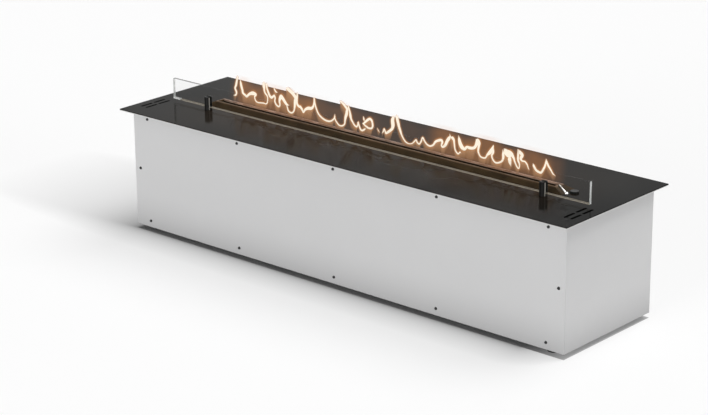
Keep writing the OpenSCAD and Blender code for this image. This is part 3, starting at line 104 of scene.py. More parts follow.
class Look:
    """One Principled material whose sockets are fed by procedural nodes in the row frame."""

    def __init__(self, name, base, rough, metallic=0.0, ior=1.5):
        self.mat = bpy.data.materials.new(name)
        self.mat.use_nodes = True
        self.tree = self.mat.node_tree
        self.tree.nodes.clear()
        self.out = self.add("ShaderNodeOutputMaterial")
        self.shader = self.add("ShaderNodeBsdfPrincipled")
        self.link(self.shader.outputs[0], self.out.inputs["Surface"])
        self.place = self.add("ShaderNodeTexCoord").outputs["Object"]
        self.set("Base Color", base)
        self.set("Roughness", rough)
        self.set("Metallic", metallic)
        self.set("IOR", ior)

    def add(self, kind, **props):
        node = self.tree.nodes.new(kind)
        for key, value in props.items():
            setattr(node, key, value)
        return node

    def link(self, a, b):
        self.tree.links.new(a, b)

    def set(self, socket, value):
        """A plain value or colour goes on the socket, and an output is linked to it."""
        if hasattr(value, "links"):
            self.link(value, self.shader.inputs[socket])
        elif isinstance(value, tuple):
            self.shader.inputs[socket].default_value = (*value, 1.0)
        else:
            self.shader.inputs[socket].default_value = value

    def stretched(self, stretch):
        m = self.add("ShaderNodeMapping")
        m.inputs["Scale"].default_value = stretch
        self.link(self.place, m.inputs["Vector"])
        return m.outputs[0]

    def noise(self, scale, detail=3.0, stretch=None, distortion=0.0):
        n = self.add("ShaderNodeTexNoise")
        n.inputs["Scale"].default_value = scale
        n.inputs["Detail"].default_value = detail
        n.inputs["Distortion"].default_value = distortion
        self.link(self.stretched(stretch) if stretch else self.place, n.inputs["Vector"])
        return n.outputs["Fac"]

    def cells(self, scale):
        n = self.add("ShaderNodeTexVoronoi")
        n.inputs["Scale"].default_value = scale
        self.link(self.place, n.inputs["Vector"])
        grey = self.add("ShaderNodeRGBToBW")
        self.link(n.outputs["Color"], grey.inputs[0])
        return grey.outputs[0]

    def span(self, fac, low, high, start=0.0, end=1.0):
        """fac from start to end becomes low to high."""
        m = self.add("ShaderNodeMapRange")
        for key, value in (("From Min", start), ("From Max", end), ("To Min", low), ("To Max", high)):
            m.inputs[key].default_value = value
        self.link(fac, m.inputs["Value"])
        return m.outputs[0]

    def mix(self, fac, a, b, blend="MIX"):
        m = self.add("ShaderNodeMix", data_type="RGBA", blend_type=blend)
        self.link(fac, m.inputs[0])
        for value, socket in ((a, m.inputs[6]), (b, m.inputs[7])):
            if isinstance(value, tuple):
                socket.default_value = (*value, 1.0)
            else:
                self.link(value, socket)
        return m.outputs[2]

    def sum(self, operation, a, b):
        m = self.add("ShaderNodeMath", operation=operation)
        for value, socket in ((a, m.inputs[0]), (b, m.inputs[1])):
            if hasattr(value, "links"):
                self.link(value, socket)
            else:
                socket.default_value = value
        return m.outputs[0]

    def axis(self, which):
        s = self.add("ShaderNodeSeparateXYZ")
        self.link(self.place, s.inputs[0])
        return s.outputs[which]

    def normal(self, which):
        """The surface's own normal along an axis of the row frame."""
        g = self.add("ShaderNodeNewGeometry")
        s = self.add("ShaderNodeSeparateXYZ")
        self.link(g.outputs["Normal"], s.inputs[0])
        return s.outputs[which]

    def facing(self, which):
        return self.sum("ABSOLUTE", self.normal(which), 0.0)

    def within(self, which, low, high):
        """1 where the place along an axis lies between the two values."""
        over = self.sum("GREATER_THAN", self.axis(which), low)
        return self.sum("MULTIPLY", over, self.sum("LESS_THAN", self.axis(which), high))

    def within_normal(self, which, low, high):
        """1 where the surface's own normal along an axis lies between the two values."""
        over = self.sum("GREATER_THAN", self.normal(which), low)
        return self.sum("MULTIPLY", over, self.sum("LESS_THAN", self.normal(which), high))

    def bump(self, height, distance, strength=1.0):
        b = self.add("ShaderNodeBump")
        b.inputs["Distance"].default_value = distance
        b.inputs["Strength"].default_value = strength
        self.link(height, b.inputs["Height"])
        if self.shader.inputs["Normal"].links:
            self.link(self.shader.inputs["Normal"].links[0].from_socket, b.inputs["Normal"])
        self.set("Normal", b.outputs[0])

    def round_edges(self, radius):
        b = self.add("ShaderNodeBevel")
        b.samples = 4
        b.inputs["Radius"].default_value = radius
        self.set("Normal", b.outputs[0])

    def read(self, name):
        a = self.add("ShaderNodeAttribute", attribute_name=name)
        return a.outputs["Fac"]


def shade(colour, factor):
    return tuple(min(1.0, c * factor) for c in colour)


def mottled(look, colour, spread, scale, detail=4.0, stretch=None):
    """The base colour wanders a little to both sides of itself."""
    fac = look.span(look.noise(scale, detail, stretch), 0.0, 1.0, *NOISE_RANGE)
    look.set("Base Color", look.mix(fac, shade(colour, 1 - spread), shade(colour, 1 + spread)))


def painted(name, colour, rough, grain, depth, spread=0.02, ior=1.5, edge=0.5):
    look = Look(name, colour, rough, 0.0, ior)
    mottled(look, colour, spread, 7.0)
    look.set("Roughness", look.span(look.noise(60.0, 2.0), rough - 0.06, rough + 0.06, *NOISE_RANGE))
    look.round_edges(edge * MM)
    look.bump(look.noise(grain, 2.0), depth * MM, 0.6)
    return look


def metal(name, colour, rough, stretch, spread=0.06, depth=0.02, edge=0.3):
    """Bare metal with a drawn or brushed grain along the short axis of stretch."""
    look = Look(name, colour, rough, 1.0)
    grain = look.noise(1.0, 3.0, stretch)
    look.set("Base Color", look.mix(look.span(grain, 0.0, 1.0, *NOISE_RANGE), shade(colour, 1 - spread),
                                    shade(colour, 1 + spread)))
    look.set("Roughness", look.span(grain, rough - 0.08, rough + 0.08, *NOISE_RANGE))
    look.round_edges(edge * MM)
    look.bump(grain, depth * MM, 0.5)
    return look


def rubber(name, colour, rough=0.75):
    look = Look(name, colour, rough)
    mottled(look, colour, 0.15, 160.0)
    look.set("Roughness", look.span(look.noise(300.0, 2.0), rough - 0.1, rough + 0.1, *NOISE_RANGE))
    look.round_edges(0.4 * MM)
    look.bump(look.noise(900.0, 2.0), 0.05 * MM)
    return look


def plastic(name, colour, rough=0.38, depth=0.03):
    look = Look(name, colour, rough, 0.0, 1.46)
    mottled(look, colour, 0.06, 40.0)
    look.set("Roughness", look.span(look.noise(120.0, 3.0), rough - 0.07, rough + 0.09, *NOISE_RANGE))
    look.round_edges(0.4 * MM)
    look.bump(look.noise(1300.0, 2.0), depth * MM, 0.5)
    return look


def casing_paint():
    look = Look("casing_paint", (0.6, 0.6, 0.602), 0.5)
    cloud = look.span(look.noise(7.0, 4.0), 0.0, 1.0, *NOISE_RANGE)
    colour = look.mix(cloud, (0.594, 0.594, 0.597), (0.606, 0.606, 0.608))
    # Painted shade: the lowest few centimetres are darker
    low = look.span(look.axis(2), 1.0, 0.0, *LOW_SHADE)
    low = look.sum("MULTIPLY", low, low)
    look.set("Base Color", look.mix(low, colour, (0.44, 0.44, 0.442)))
    look.set("Roughness", look.span(look.noise(60.0, 2.0), 0.44, 0.56, *NOISE_RANGE))
    look.round_edges(0.5 * MM)
    look.bump(look.noise(1500.0, 2.0), 0.03 * MM, 0.6)
    return look


def zinc():
    look = Look("zinc", (0.6, 0.61, 0.62), 0.38, 1.0)
    spangle = look.cells(110.0)
    look.set("Base Color", look.mix(spangle, (0.5, 0.515, 0.53), (0.68, 0.69, 0.7)))
    look.set("Roughness", look.span(spangle, 0.3, 0.48))
    look.round_edges(0.3 * MM)
    look.bump(look.noise(500.0, 3.0), 0.03 * MM, 0.4)
    return look


def plate_black():
    look = Look("plate_black", (0.008, 0.0078, 0.0075), 0.1, 0.0, 1.077)
    # Painted glow of the flames: warm brown near the burner, fading out toward the ends and edges
    along = look.span(look.sum("ABSOLUTE", look.axis(0), 0.0), 1.0, 0.0, *GLOW_ALONG)
    across = look.span(look.sum("ABSOLUTE", look.axis(1), 0.0), 1.0, 0.2, *GLOW_ACROSS)
    cloud = look.span(look.noise(9.0, 3.0), 0.45, 1.0, 0.35, 0.65)
    painted_glow = look.sum("MULTIPLY", look.sum("MULTIPLY", along, across), cloud)
    shift = look.span(look.noise(5.0, 2.0), 0.0, 1.0, 0.35, 0.65)
    drift = look.mix(shift, (0.004, 0.004, 0.0036), (0.0115, 0.0112, 0.01))
    front = look.span(look.axis(1), 0.0, 1.0, *BEFORE_SCREEN)
    dark = look.mix(painted_glow, drift, look.mix(front, (0.026, 0.0165, 0.0095), (0.034, 0.024, 0.0165)))
    # Bare cut edge of the sheet along the foot of its outline
    side = look.span(look.facing(2), 1.0, 0.0, 0.4, 0.6)
    ends = look.sum("GREATER_THAN", look.sum("ABSOLUTE", look.axis(0), 0.0), PLATE_HALF[0] - CUT_IN)
    fronts = look.sum("GREATER_THAN", look.sum("ABSOLUTE", look.axis(1), 0.0), PLATE_HALF[1] - CUT_IN)
    foot = look.span(look.axis(2), 1.0, 0.0, PLATE_TOP - CUT_DEPTH[0], PLATE_TOP - CUT_DEPTH[1])
    cut = look.sum("MULTIPLY", look.sum("MULTIPLY", side, foot), look.sum("MAXIMUM", ends, fronts))
    look.set("Base Color", look.mix(cut, dark, (0.66, 0.655, 0.64)))
    smear = look.noise(14.0, 4.0, (1.0, 2.5, 1.0), 0.4)
    smeared = look.span(smear, 0.07, 0.14, *NOISE_RANGE)
    look.set("Roughness", look.sum("ADD", smeared, look.span(cut, 0.0, 0.3)))
    look.bump(look.noise(35.0, 2.0), 0.012 * MM, 0.4)
    return look


def rim_dark():
    look = Look("rim_dark", (0.03, 0.022, 0.016), 0.32, 0.0, 1.12)
    heat = look.noise(22.0, 3.0, (1.0, 3.0, 3.0), 0.3)
    # Dark brown heat tint, with painted flame glow in it as well
    brown = look.mix(look.span(heat, 0.0, 1.0, *NOISE_RANGE),
                     (0.024, 0.0145, 0.0065), (0.05, 0.031, 0.0135))
    # Painted flame light: the land behind the slot and the wall under it are paler than the rest, and the
    # land in front carries a painted olive highlight
    back = look.sum("GREATER_THAN", look.axis(1), SLOT_BACK - WALL_NEAR)
    land = look.span(look.axis(2), 0.0, 1.0, RIDGE - LAND_DEPTH[0], RIDGE - LAND_DEPTH[1])
    wall = look.sum("MULTIPLY", look.span(look.normal(1), 1.0, 0.0, -0.8, -0.5),
                    look.span(look.axis(2), 0.0, 1.0, RIDGE - WALL_GLOW_DEPTH[0], RIDGE - WALL_GLOW_DEPTH[1]))
    wall = look.sum("MULTIPLY", wall, look.within(1, SLOT_BACK - WALL_NEAR, SLOT_BACK + WALL_NEAR))
    back_land_flame_light = look.mix(look.span(heat, 0.0, 1.0, *NOISE_RANGE), (0.22, 0.15, 0.12), (0.36, 0.25, 0.19))
    front_land_highlight = look.mix(look.span(heat, 0.0, 1.0, *NOISE_RANGE), (0.1, 0.065, 0.038), (0.17, 0.11, 0.07))
    colour = look.mix(land, brown, look.mix(back, front_land_highlight, back_land_flame_light))
    glow = look.mix(look.span(heat, 0.0, 1.0, *NOISE_RANGE), (0.4, 0.28, 0.215), (0.62, 0.43, 0.33))
    look.set("Base Color", look.mix(wall, colour, glow))
    look.set("Roughness", look.span(heat, 0.3, 0.46, *NOISE_RANGE))
    look.round_edges(0.5 * MM)
    look.bump(look.noise(420.0, 3.0), 0.03 * MM, 0.5)
    return look


def clear_glass():
    look = Look("clear_glass", (0.02, 0.024, 0.022), 0.03, 0.0, 1.45)
    smudge = look.noise(30.0, 4.0)
    # The faces hardly show; the ground edges do, each with a painted tone of the light and shade that the
    # glass carries to it
    top = look.sum("GREATER_THAN", look.normal(2), 0.5)
    strip = look.span(look.axis(0), GLASS_FOOT + STRIP_HIGH, GLASS_FOOT + STRIP_LOW,
                      GLASS_LEFT + STRIP_CHANGE[0], GLASS_LEFT + STRIP_CHANGE[1])
    foot = look.sum("LESS_THAN", look.axis(2), strip)
    foot = look.sum("MULTIPLY", foot, look.sum("GREATER_THAN", look.normal(2), -0.5))
    right = look.sum("GREATER_THAN", look.normal(0), 0.5)
    left = look.sum("LESS_THAN", look.normal(0), -0.5)
    corner = look.sum("LESS_THAN", look.axis(0), GLASS_LEFT + WHITE_END)
    outer = look.span(look.axis(0), 0.85, 0.04, GLASS_LEFT + DARK_TOP[0], GLASS_LEFT + DARK_TOP[1])
    outer_top = look.sum("MULTIPLY", top, outer)
    streaks = look.span(look.noise(1.0, 3.0, (300.0, 900.0, 160.0)), 0.0, 1.0, *NOISE_RANGE)
    # Painted highlight along the foot, painted white at its left end, and painted dark on the top edge
    foot_highlight = look.mix(streaks, (0.44, 0.375, 0.28), (0.56, 0.49, 0.38))
    colour = look.mix(foot, (0.02, 0.024, 0.022), look.mix(corner, foot_highlight, (0.95, 0.95, 0.94)))
    colour = look.mix(top, colour, (0.035, 0.036, 0.034))
    # Painted tones on the side edges: a grey left edge and a bright streaked highlight on the right
    colour = look.mix(left, colour, (0.34, 0.34, 0.34))
    look.set("Base Color", look.mix(right, colour, look.mix(streaks, (0.35, 0.37, 0.36), (0.9, 0.92, 0.9))))
    edge = look.sum("MAXIMUM", look.sum("MAXIMUM", outer_top, look.sum("MULTIPLY", foot, 0.85)),
                    look.sum("MAXIMUM", look.sum("MULTIPLY", right, 0.8), look.sum("MULTIPLY", left, 0.45)))
    face_rough = look.span(smudge, 0.02, 0.06, 0.4, 0.8)
    look.set("Roughness", look.sum("ADD", face_rough, look.span(edge, 0.0, 0.35)))
    look.set("Alpha", look.sum("MAXIMUM", edge, look.span(smudge, 0.03, 0.055, 0.3, 0.8)))
    return look


def post_black():
    """Satin black with one painted highlight line down the edge of the slot in each post."""
    look = painted("post_black", (0.0035, 0.0033, 0.003), 0.36, 1400.0, 0.01, 0.15, 1.3, 0.3)
    edge = look.sum("MULTIPLY", look.within_normal(0, *POST_LINE_TURN), look.within(1, *POST_LINE_DEPTH))
    edge = look.sum("MULTIPLY", edge, look.sum("GREATER_THAN", look.axis(2), PLATE_TOP + POST_LINE_FOOT))
    # Painted highlight along the slot's edge
    highlight_noise = look.span(look.noise(90.0, 2.0), 0.0, 1.0, *NOISE_RANGE)
    painted_line_highlight = look.mix(highlight_noise, (0.16, 0.15, 0.135), (0.24, 0.23, 0.21))
    look.set("Base Color", look.mix(edge, (0.0035, 0.0033, 0.003), painted_line_highlight))
    return look


def liner_rubber():
    """Dark liners with a painted highlight on their front lips, in front of the glass."""
    look = rubber("liner_rubber", (0.012, 0.012, 0.011), 0.5)
    # Painted highlight on the front lip
    lip_highlight = look.sum("LESS_THAN", look.axis(1), LINER_LIP)
    look.set("Base Color", look.mix(lip_highlight, (0.012, 0.012, 0.011), (0.2, 0.19, 0.17)))
    return look


def bright_steel():
    """Drawn rod; the sensor's tip over the burner is darker than its foot."""
    look = metal("bright_steel", (0.82, 0.81, 0.79), 0.16, (200.0, 900.0, 900.0), 0.03)
    clean = look.shader.inputs["Base Color"].links[0].from_socket
    tip_darker = look.span(look.axis(2), 0.0, 1.0, *SENSOR_DARKENS)
    look.set("Base Color", look.mix(tip_darker, clean, (0.24, 0.23, 0.21)))
    return look


def board_green():
    look = plastic("board_green", (0.02, 0.13, 0.05), 0.3)
    traces = look.add("ShaderNodeTexBrick", offset=0.5, squash=1.0)
    traces.inputs["Scale"].default_value = 190.0
    traces.inputs["Mortar Size"].default_value = 0.06
    traces.inputs["Color1"].default_value = (0.018, 0.12, 0.045, 1.0)
    traces.inputs["Color2"].default_value = (0.02, 0.14, 0.055, 1.0)
    traces.inputs["Mortar"].default_value = (0.06, 0.26, 0.1, 1.0)
    look.link(look.place, traces.inputs["Vector"])
    look.set("Base Color", traces.outputs["Color"])
    return look


LOOKS = {
    "casing_paint": casing_paint,
    "zinc": zinc,
    "plate_black": plate_black,
    "rim_dark": rim_dark,
    "clear_glass": clear_glass,
    "board_green": board_green,
    "stainless": lambda: metal("stainless", (0.56, 0.55, 0.53), 0.3, (30.0, 900.0, 900.0)),
    "bright_steel": bright_steel,
    "motor_metal": lambda: metal("motor_metal", (0.34, 0.35, 0.37), 0.4, (900.0, 60.0, 60.0)),
    "supply_metal": lambda: metal("supply_metal", (0.6, 0.62, 0.63), 0.46,
                                  (260.0, 240.0, 250.0), 0.05, 0.03),
    "brass": lambda: metal("brass", (0.62, 0.45, 0.17), 0.26, (900.0, 50.0, 50.0)),
    "black_metal": post_black,
    "screw_black": lambda: painted("screw_black", (0.012, 0.012, 0.012), 0.4, 900.0, 0.01, 0.2, 1.45, 0.2),
    "silicone": liner_rubber,
    "rubber_black": lambda: rubber("rubber_black", (0.015, 0.015, 0.015)),
    "seal_red": lambda: rubber("seal_red", (0.42, 0.05, 0.03), 0.55),
    "hose_grey": lambda: rubber("hose_grey", (0.1, 0.1, 0.105), 0.5),
    "wire_black": lambda: rubber("wire_black", (0.018, 0.018, 0.019), 0.6),
    "black_plastic": lambda: plastic("black_plastic", (0.018, 0.018, 0.019), 0.42),
    "gloss_black": lambda: plastic("gloss_black", (0.012, 0.012, 0.012), 0.18, 0.005),
    "red_plastic": lambda: plastic("red_plastic", (0.5, 0.025, 0.02), 0.28),
    "white_plastic": lambda: plastic("white_plastic", (0.72, 0.72, 0.7), 0.4),
}
built = {}
for part in frame["record"]["subparts"]:
    slot = part["material_slot"]
    if slot not in built:
        built[slot] = LOOKS[slot]().mat
    node = frame["nodes"][part["node"]]
    node.data.materials.clear()
    node.data.materials.append(built[slot])


# Flames

LEAN = 0.18
WANDER = 2.4 * MM

# The bright lines of the flames, traced on four enlarged crops of the photograph. A crop is the
# photo's pixel at its top left corner and its enlargement. A point is its place on the crop, in the crop's
# pixels, and the breadth of the line there.
CROP_FAR_LEFT = ((222, 55), 17.42)
CROP_LEFT = ((300, 80), 17.42)
CROP_RIGHT = ((385, 100), 17.42)
CROP_FAR_RIGHT = ((465, 115), 14.254)
TRACES = [
    (CROP_FAR_LEFT, [
        (200, 700, 20), (238, 692, 28), (252, 640, 28), (232, 570, 30), (238, 500, 32), (250, 440, 36),
        (262, 340, 36), (275, 220, 30), (285, 100, 20), (290, 20, 8)]),
    (CROP_FAR_LEFT, [
        (318, 300, 10), (325, 380, 24), (330, 440, 38), (340, 520, 40), (355, 600, 36), (368, 660, 34),
        (400, 700, 34), (432, 722, 36), (460, 690, 40), (500, 672, 50), (545, 668, 60), (580, 690, 40),
        (562, 730, 24), (580, 790, 20), (620, 825, 20), (680, 832, 20), (735, 838, 20), (770, 850, 20),
        (795, 825, 20), (802, 760, 20), (790, 700, 24), (755, 630, 26), (738, 560, 30), (738, 500, 40),
        (732, 420, 52), (735, 340, 40), (730, 280, 14)]),
    (CROP_FAR_LEFT, [
        (762, 400, 12), (770, 470, 30), (785, 560, 30), (810, 640, 34), (835, 700, 36), (870, 735, 40),
        (900, 712, 34), (915, 690, 26), (932, 740, 24), (930, 800, 24), (950, 860, 26), (990, 895, 26),
        (1012, 870, 26), (1008, 800, 34), (1018, 740, 58), (1030, 700, 50), (1060, 750, 50),
        (1095, 810, 46), (1130, 860, 36), (1175, 878, 12)]),
    (CROP_FAR_LEFT, [
        (1120, 850, 14), (1140, 910, 24), (1155, 965, 24), (1195, 1000, 24), (1230, 1003, 24),
        (1258, 965, 26), (1265, 890, 36), (1268, 800, 45), (1275, 720, 50), (1278, 650, 54),
        (1250, 560, 56), (1222, 480, 54), (1180, 400, 50), (1155, 330, 36), (1145, 280, 12)]),
    (CROP_FAR_LEFT, [
        (1290, 620, 12), (1295, 700, 30), (1298, 800, 30), (1300, 860, 34), (1335, 900, 36),
        (1359, 906, 38), (1394, 965, 32), (1415, 1002, 24), (1444, 955, 36), (1500, 930, 50),
        (1560, 930, 46), (1592, 890, 34), (1602, 825, 26), (1607, 750, 20), (1606, 715, 8)]),
    (CROP_FAR_LEFT, [
        (895, 545, 10), (915, 600, 22), (940, 640, 22), (968, 650, 12)]),
    (CROP_LEFT, [
        (249, 290, 8), (250, 330, 20), (262, 400, 24), (280, 480, 24), (310, 560, 24), (352, 620, 26),
        (420, 680, 28), (480, 710, 28), (530, 715, 26), (575, 690, 24), (602, 645, 22), (605, 585, 10)]),
    (CROP_LEFT, [
        (604, 600, 8), (608, 650, 20), (622, 700, 20), (660, 760, 22), (700, 792, 20), (745, 795, 22),
        (775, 765, 24), (782, 705, 30), (788, 640, 44), (805, 580, 50), (815, 520, 46), (818, 450, 44),
        (790, 380, 34), (755, 315, 28), (722, 250, 20), (705, 205, 8)]),
    (CROP_LEFT, [
        (832, 410, 10), (840, 470, 24), (858, 560, 28), (872, 620, 40), (890, 680, 30), (910, 725, 26),
        (950, 787, 24), (988, 812, 26), (1008, 775, 26), (1016, 730, 18), (1032, 790, 24), (1055, 855, 26),
        (1080, 878, 26), (1120, 858, 28), (1150, 835, 12)]),
    (CROP_LEFT, [
        (1080, 750, 10), (1110, 752, 24), (1150, 725, 34), (1190, 690, 38), (1225, 675, 38),
        (1255, 700, 34), (1262, 745, 30), (1262, 800, 30), (1245, 840, 30), (1200, 838, 28),
        (1155, 805, 28), (1120, 775, 20), (1090, 755, 8)]),
    (CROP_LEFT, [
        (1103, 622, 8), (1112, 660, 22), (1122, 690, 22), (1134, 712, 10)]),
    (CROP_LEFT, [
        (1335, 825, 6), (1355, 880, 12), (1384, 925, 6)]),
    (CROP_LEFT, [
        (1418, 942, 8), (1450, 892, 24), (1466, 850, 14), (1478, 900, 24), (1490, 930, 30),
        (1530, 915, 40), (1568, 885, 42), (1605, 845, 46), (1622, 790, 60), (1617, 705, 58),
        (1632, 650, 44), (1645, 600, 14)]),
    (CROP_RIGHT, [
        (200, 225, 8), (212, 300, 44), (235, 400, 46), (250, 470, 40), (270, 540, 34), (300, 610, 26),
        (335, 685, 22), (380, 738, 20), (430, 762, 14), (480, 755, 16), (520, 722, 22), (545, 696, 22),
        (570, 740, 22), (603, 768, 22), (630, 720, 26), (655, 656, 22), (690, 720, 24), (730, 775, 24),
        (790, 805, 26), (840, 788, 30), (880, 735, 36), (925, 712, 36), (980, 702, 40), (1000, 735, 34),
        (985, 790, 26), (1010, 820, 30), (1050, 790, 44), (1085, 720, 50), (1115, 670, 50),
        (1140, 640, 26), (1128, 585, 8)]),
    (CROP_RIGHT, [
        (1150, 650, 12), (1180, 660, 44), (1208, 700, 34), (1215, 760, 26), (1232, 860, 24),
        (1262, 922, 22), (1288, 938, 20), (1312, 908, 20), (1334, 935, 8)]),
    (CROP_RIGHT, [
        (1284, 610, 8), (1300, 690, 44), (1325, 770, 60), (1355, 830, 60), (1400, 855, 44),
        (1440, 820, 36), (1480, 832, 44), (1530, 840, 42), (1568, 825, 42), (1600, 770, 50),
        (1612, 720, 50), (1590, 670, 10)]),
    (CROP_FAR_RIGHT, [
        (165, 335, 10), (188, 360, 44), (212, 400, 36), (203, 450, 30), (192, 520, 22), (212, 580, 20),
        (245, 608, 18), (295, 612, 20), (318, 570, 26), (350, 540, 44), (380, 500, 40), (398, 450, 18),
        (402, 425, 6)]),
    (CROP_FAR_RIGHT, [
        (402, 440, 8), (402, 530, 26), (382, 580, 22), (402, 640, 20), (450, 682, 20), (512, 672, 22),
        (545, 630, 28), (547, 560, 36), (538, 490, 10)]),
    (CROP_FAR_RIGHT, [
        (550, 480, 12), (575, 510, 50), (600, 550, 60), (630, 575, 60), (665, 560, 56), (685, 590, 36),
        (702, 625, 26), (716, 665, 20), (740, 735, 18), (768, 765, 16), (777, 710, 18), (757, 640, 26),
        (762, 570, 26), (752, 490, 8)]),
    (CROP_FAR_RIGHT, [
        (600, 490, 10), (620, 520, 36), (655, 535, 30), (680, 560, 10)]),
    (CROP_FAR_RIGHT, [
        (632, 590, 14), (642, 620, 46), (650, 680, 36), (658, 740, 8)]),
    (CROP_FAR_RIGHT, [
        (748, 480, 8), (785, 535, 40), (815, 575, 38), (798, 620, 34), (815, 655, 20), (855, 668, 18),
        (885, 710, 16), (905, 760, 12), (918, 790, 6)]),
    (CROP_FAR_RIGHT, [
        (968, 690, 8), (978, 720, 26), (995, 755, 28), (1020, 790, 28), (1055, 812, 28), (1090, 822, 26),
        (1120, 785, 26), (1145, 730, 24), (1162, 680, 18), (1168, 615, 6)]),
    (CROP_FAR_RIGHT, [
        (1168, 620, 6), (1178, 670, 24), (1200, 725, 24), (1225, 780, 20), (1255, 840, 16),
        (1295, 876, 6)]),
]

# Millimetres that a pixel of the photograph covers at the slot
MM_PER_PIXEL = 1.72
# Flames over the tallest height are squeezed down to it, from the bend up
TALLEST, BEND = 53.0, 25.0
# What rises over this height keeps this share, so that the flames stay close to the solids' box
HIGH, HIGH_SHARE = 40.0, 0.79


def on_flame_plane(x, y):
    """Where a pixel of the photograph falls on the flames' plane, in mm: along the slot, over the rim."""
    aside, above = (x - PHOTO_W / 2) / FOCAL_PX, (PHOTO_H / 2 - y) / FOCAL_PX
    ray = [aside * r + above * u - b for r, u, b in zip(RIGHT, UP, BACK)]
    reach = (LEAN * (EYE[2] - RIDGE) - EYE[1]) / (ray[1] - LEAN * ray[2])
    return (EYE[0] + reach * ray[0]) / MM, (EYE[2] + reach * ray[2] - RIDGE) / MM


def flame(crop, points):
    """A traced line in mm: place along the slot, height over the rim and breadth. Tall ones are lowered."""
    (left, top), enlarged = crop
    placed = [on_flame_plane(left + x / enlarged, top + y / enlarged) for x, y, breadth in points]
    tip = max(height for along, height in placed)
    line = []
    for (along, height), (x, y, breadth) in zip(placed, points):
        if tip > TALLEST and height > BEND:
            height = BEND + (height - BEND) * (TALLEST - BEND) / (tip - BEND)
        height = round(height, 1)
        if height > HIGH:
            height = round(HIGH + (height - HIGH) * HIGH_SHARE, 1)
        line.append((math.trunc(along), height, round(breadth / enlarged * MM_PER_PIXEL, 1)))
    return line


FLAMES = [flame(crop, points) for crop, points in TRACES]


def mesh_object(name, bm, look, body="casing"):
    mesh = bpy.data.meshes.new(name)
    bm.normal_update()
    bm.to_mesh(mesh)
    bm.free()
    for face in mesh.polygons:
        face.use_smooth = True
    obj = bpy.data.objects.new(name, mesh)
    bpy.context.scene.collection.objects.link(obj)
    mesh.materials.append(look.mat)
    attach(obj, body)


def eased(points, steps):
    """A smooth curve through the points, with this many steps between neighbours."""
    ends = [points[0], *points, points[-1]]
    curve = []
    for i in range(1, len(ends) - 2):
        a, b, c, d = ends[i - 1:i + 3]
        for k in range(steps):
            t = k / steps
            curve.append(tuple(
                0.5 * (2 * q + (r - p) * t + (2 * p - 5 * q + 4 * r - s) * t ** 2
                       + (3 * q - p - 3 * r + s) * t ** 3)
                for p, q, r, s in zip(a, b, c, d)))
    curve.append(points[-1])
    return curve


# How a bright line is drawn: half its breadth and its depth as shares, the breadth that glows whitest, the
# least breadth, the steps between two points, and the steps over which its ends taper
LINE_HALF, LINE_DEPTH, WHITE_BREADTH, LEAST_BREADTH = 0.62, 0.6, 2.8 * MM, 0.3 * MM
LINE_STEPS, SOFT_STEPS, TAPER = 5, 3, 4
# Veils and halos stay this far over the rim, and are thin sheets of twice this depth
CLEAR, VEIL_HALF = 0.6 * MM, 0.25 * MM
# The least depth of a veil and the least reach of a halo, to which each adds a share of the line's breadth
VEIL_LEAST, HALO_LEAST = 5 * MM, 2.2 * MM
# Half the depth of the painted glow sheet over the slot, and how far it stands behind the flames
HAZE_HALF, HAZE_BACK = 0.3 * MM, 1.5 * MM


def flame_point(x, h):
    """Where a point of a flame stands: it leans back as it rises and wanders a little along the slot."""
    drift = noise.noise(Vector((x * 18, h * 30, 3.1))) * WANDER
    return Vector((x, LEAN * h + drift, RIDGE + h))


def bright_line(bm, heat, fade, points, sides=8):
    """A closed tapering tube, flatter across the slot than along it."""
    curve = [(x * MM, h * MM, w * MM) for x, h, w in eased(points, LINE_STEPS)]
    rings = []
    for i, (x, h, w) in enumerate(curve):
        a, b = curve[max(i - 1, 0)], curve[min(i + 1, len(curve) - 1)]
        run = Vector((b[0] - a[0], 0, b[1] - a[1])).normalized()
        out = Vector((-run.z, 0, run.x))
        centre = flame_point(x, h)
        tip = min(i, len(curve) - 1 - i) / TAPER
        half = LINE_HALF * max(w, LEAST_BREADTH) * min(1.0, 0.25 + 0.75 * tip)
        ring = []
        for k in range(sides):
            turn = 2 * math.pi * k / sides
            across = out * half * math.cos(turn)
            v = bm.verts.new(centre + across + Vector((0, 1, 0)) * LINE_DEPTH * half * math.sin(turn))
            v[heat] = min(1.0, w / WHITE_BREADTH)
            v[fade] = min(1.0, 0.35 + 0.65 * tip)
            ring.append(v)
        rings.append(ring)
    for near, far in zip(rings, rings[1:]):
        for k in range(sides):
            bm.faces.new((near[k], near[(k + 1) % sides], far[(k + 1) % sides], far[k]))
    bm.faces.new(reversed(rings[0]))
    bm.faces.new(rings[-1])


def ribbon(bm, heat, fade, curve, offsets, weights, level_heat):
    """A thin closed strip whose fade runs across it from one list of weights."""
    sheets = []
    for push in (-VEIL_HALF, VEIL_HALF):
        sheet = []
        for i, (x, h, w) in enumerate(curve):
            end = min(1.0, min(i, len(curve) - 1 - i) / TAPER)
            column = []
            for (dx, dh), weight, haze_glow in zip(offsets(i), weights, level_heat):
                v = bm.verts.new(flame_point(x + dx, max(h + dh, CLEAR)) + Vector((0, push, 0)))
                v[heat] = haze_glow
                v[fade] = weight * end
                column.append(v)
            sheet.append(column)
        sheets.append(sheet)
    front, back = sheets
    n, rows = len(curve), len(weights)
    for i in range(n - 1):
        for r in range(rows - 1):
            bm.faces.new((front[i][r], front[i][r + 1], front[i + 1][r + 1], front[i + 1][r]))
            bm.faces.new((back[i][r], back[i + 1][r], back[i + 1][r + 1], back[i][r + 1]))
        bm.faces.new((front[i][0], front[i + 1][0], back[i + 1][0], back[i][0]))
        bm.faces.new((front[i][-1], back[i][-1], back[i + 1][-1], front[i + 1][-1]))
    for i, flip in ((0, False), (n - 1, True)):
        for r in range(rows - 1):
            face = (front[i][r], back[i][r], back[i][r + 1], front[i][r + 1])
            bm.faces.new(tuple(reversed(face)) if flip else face)


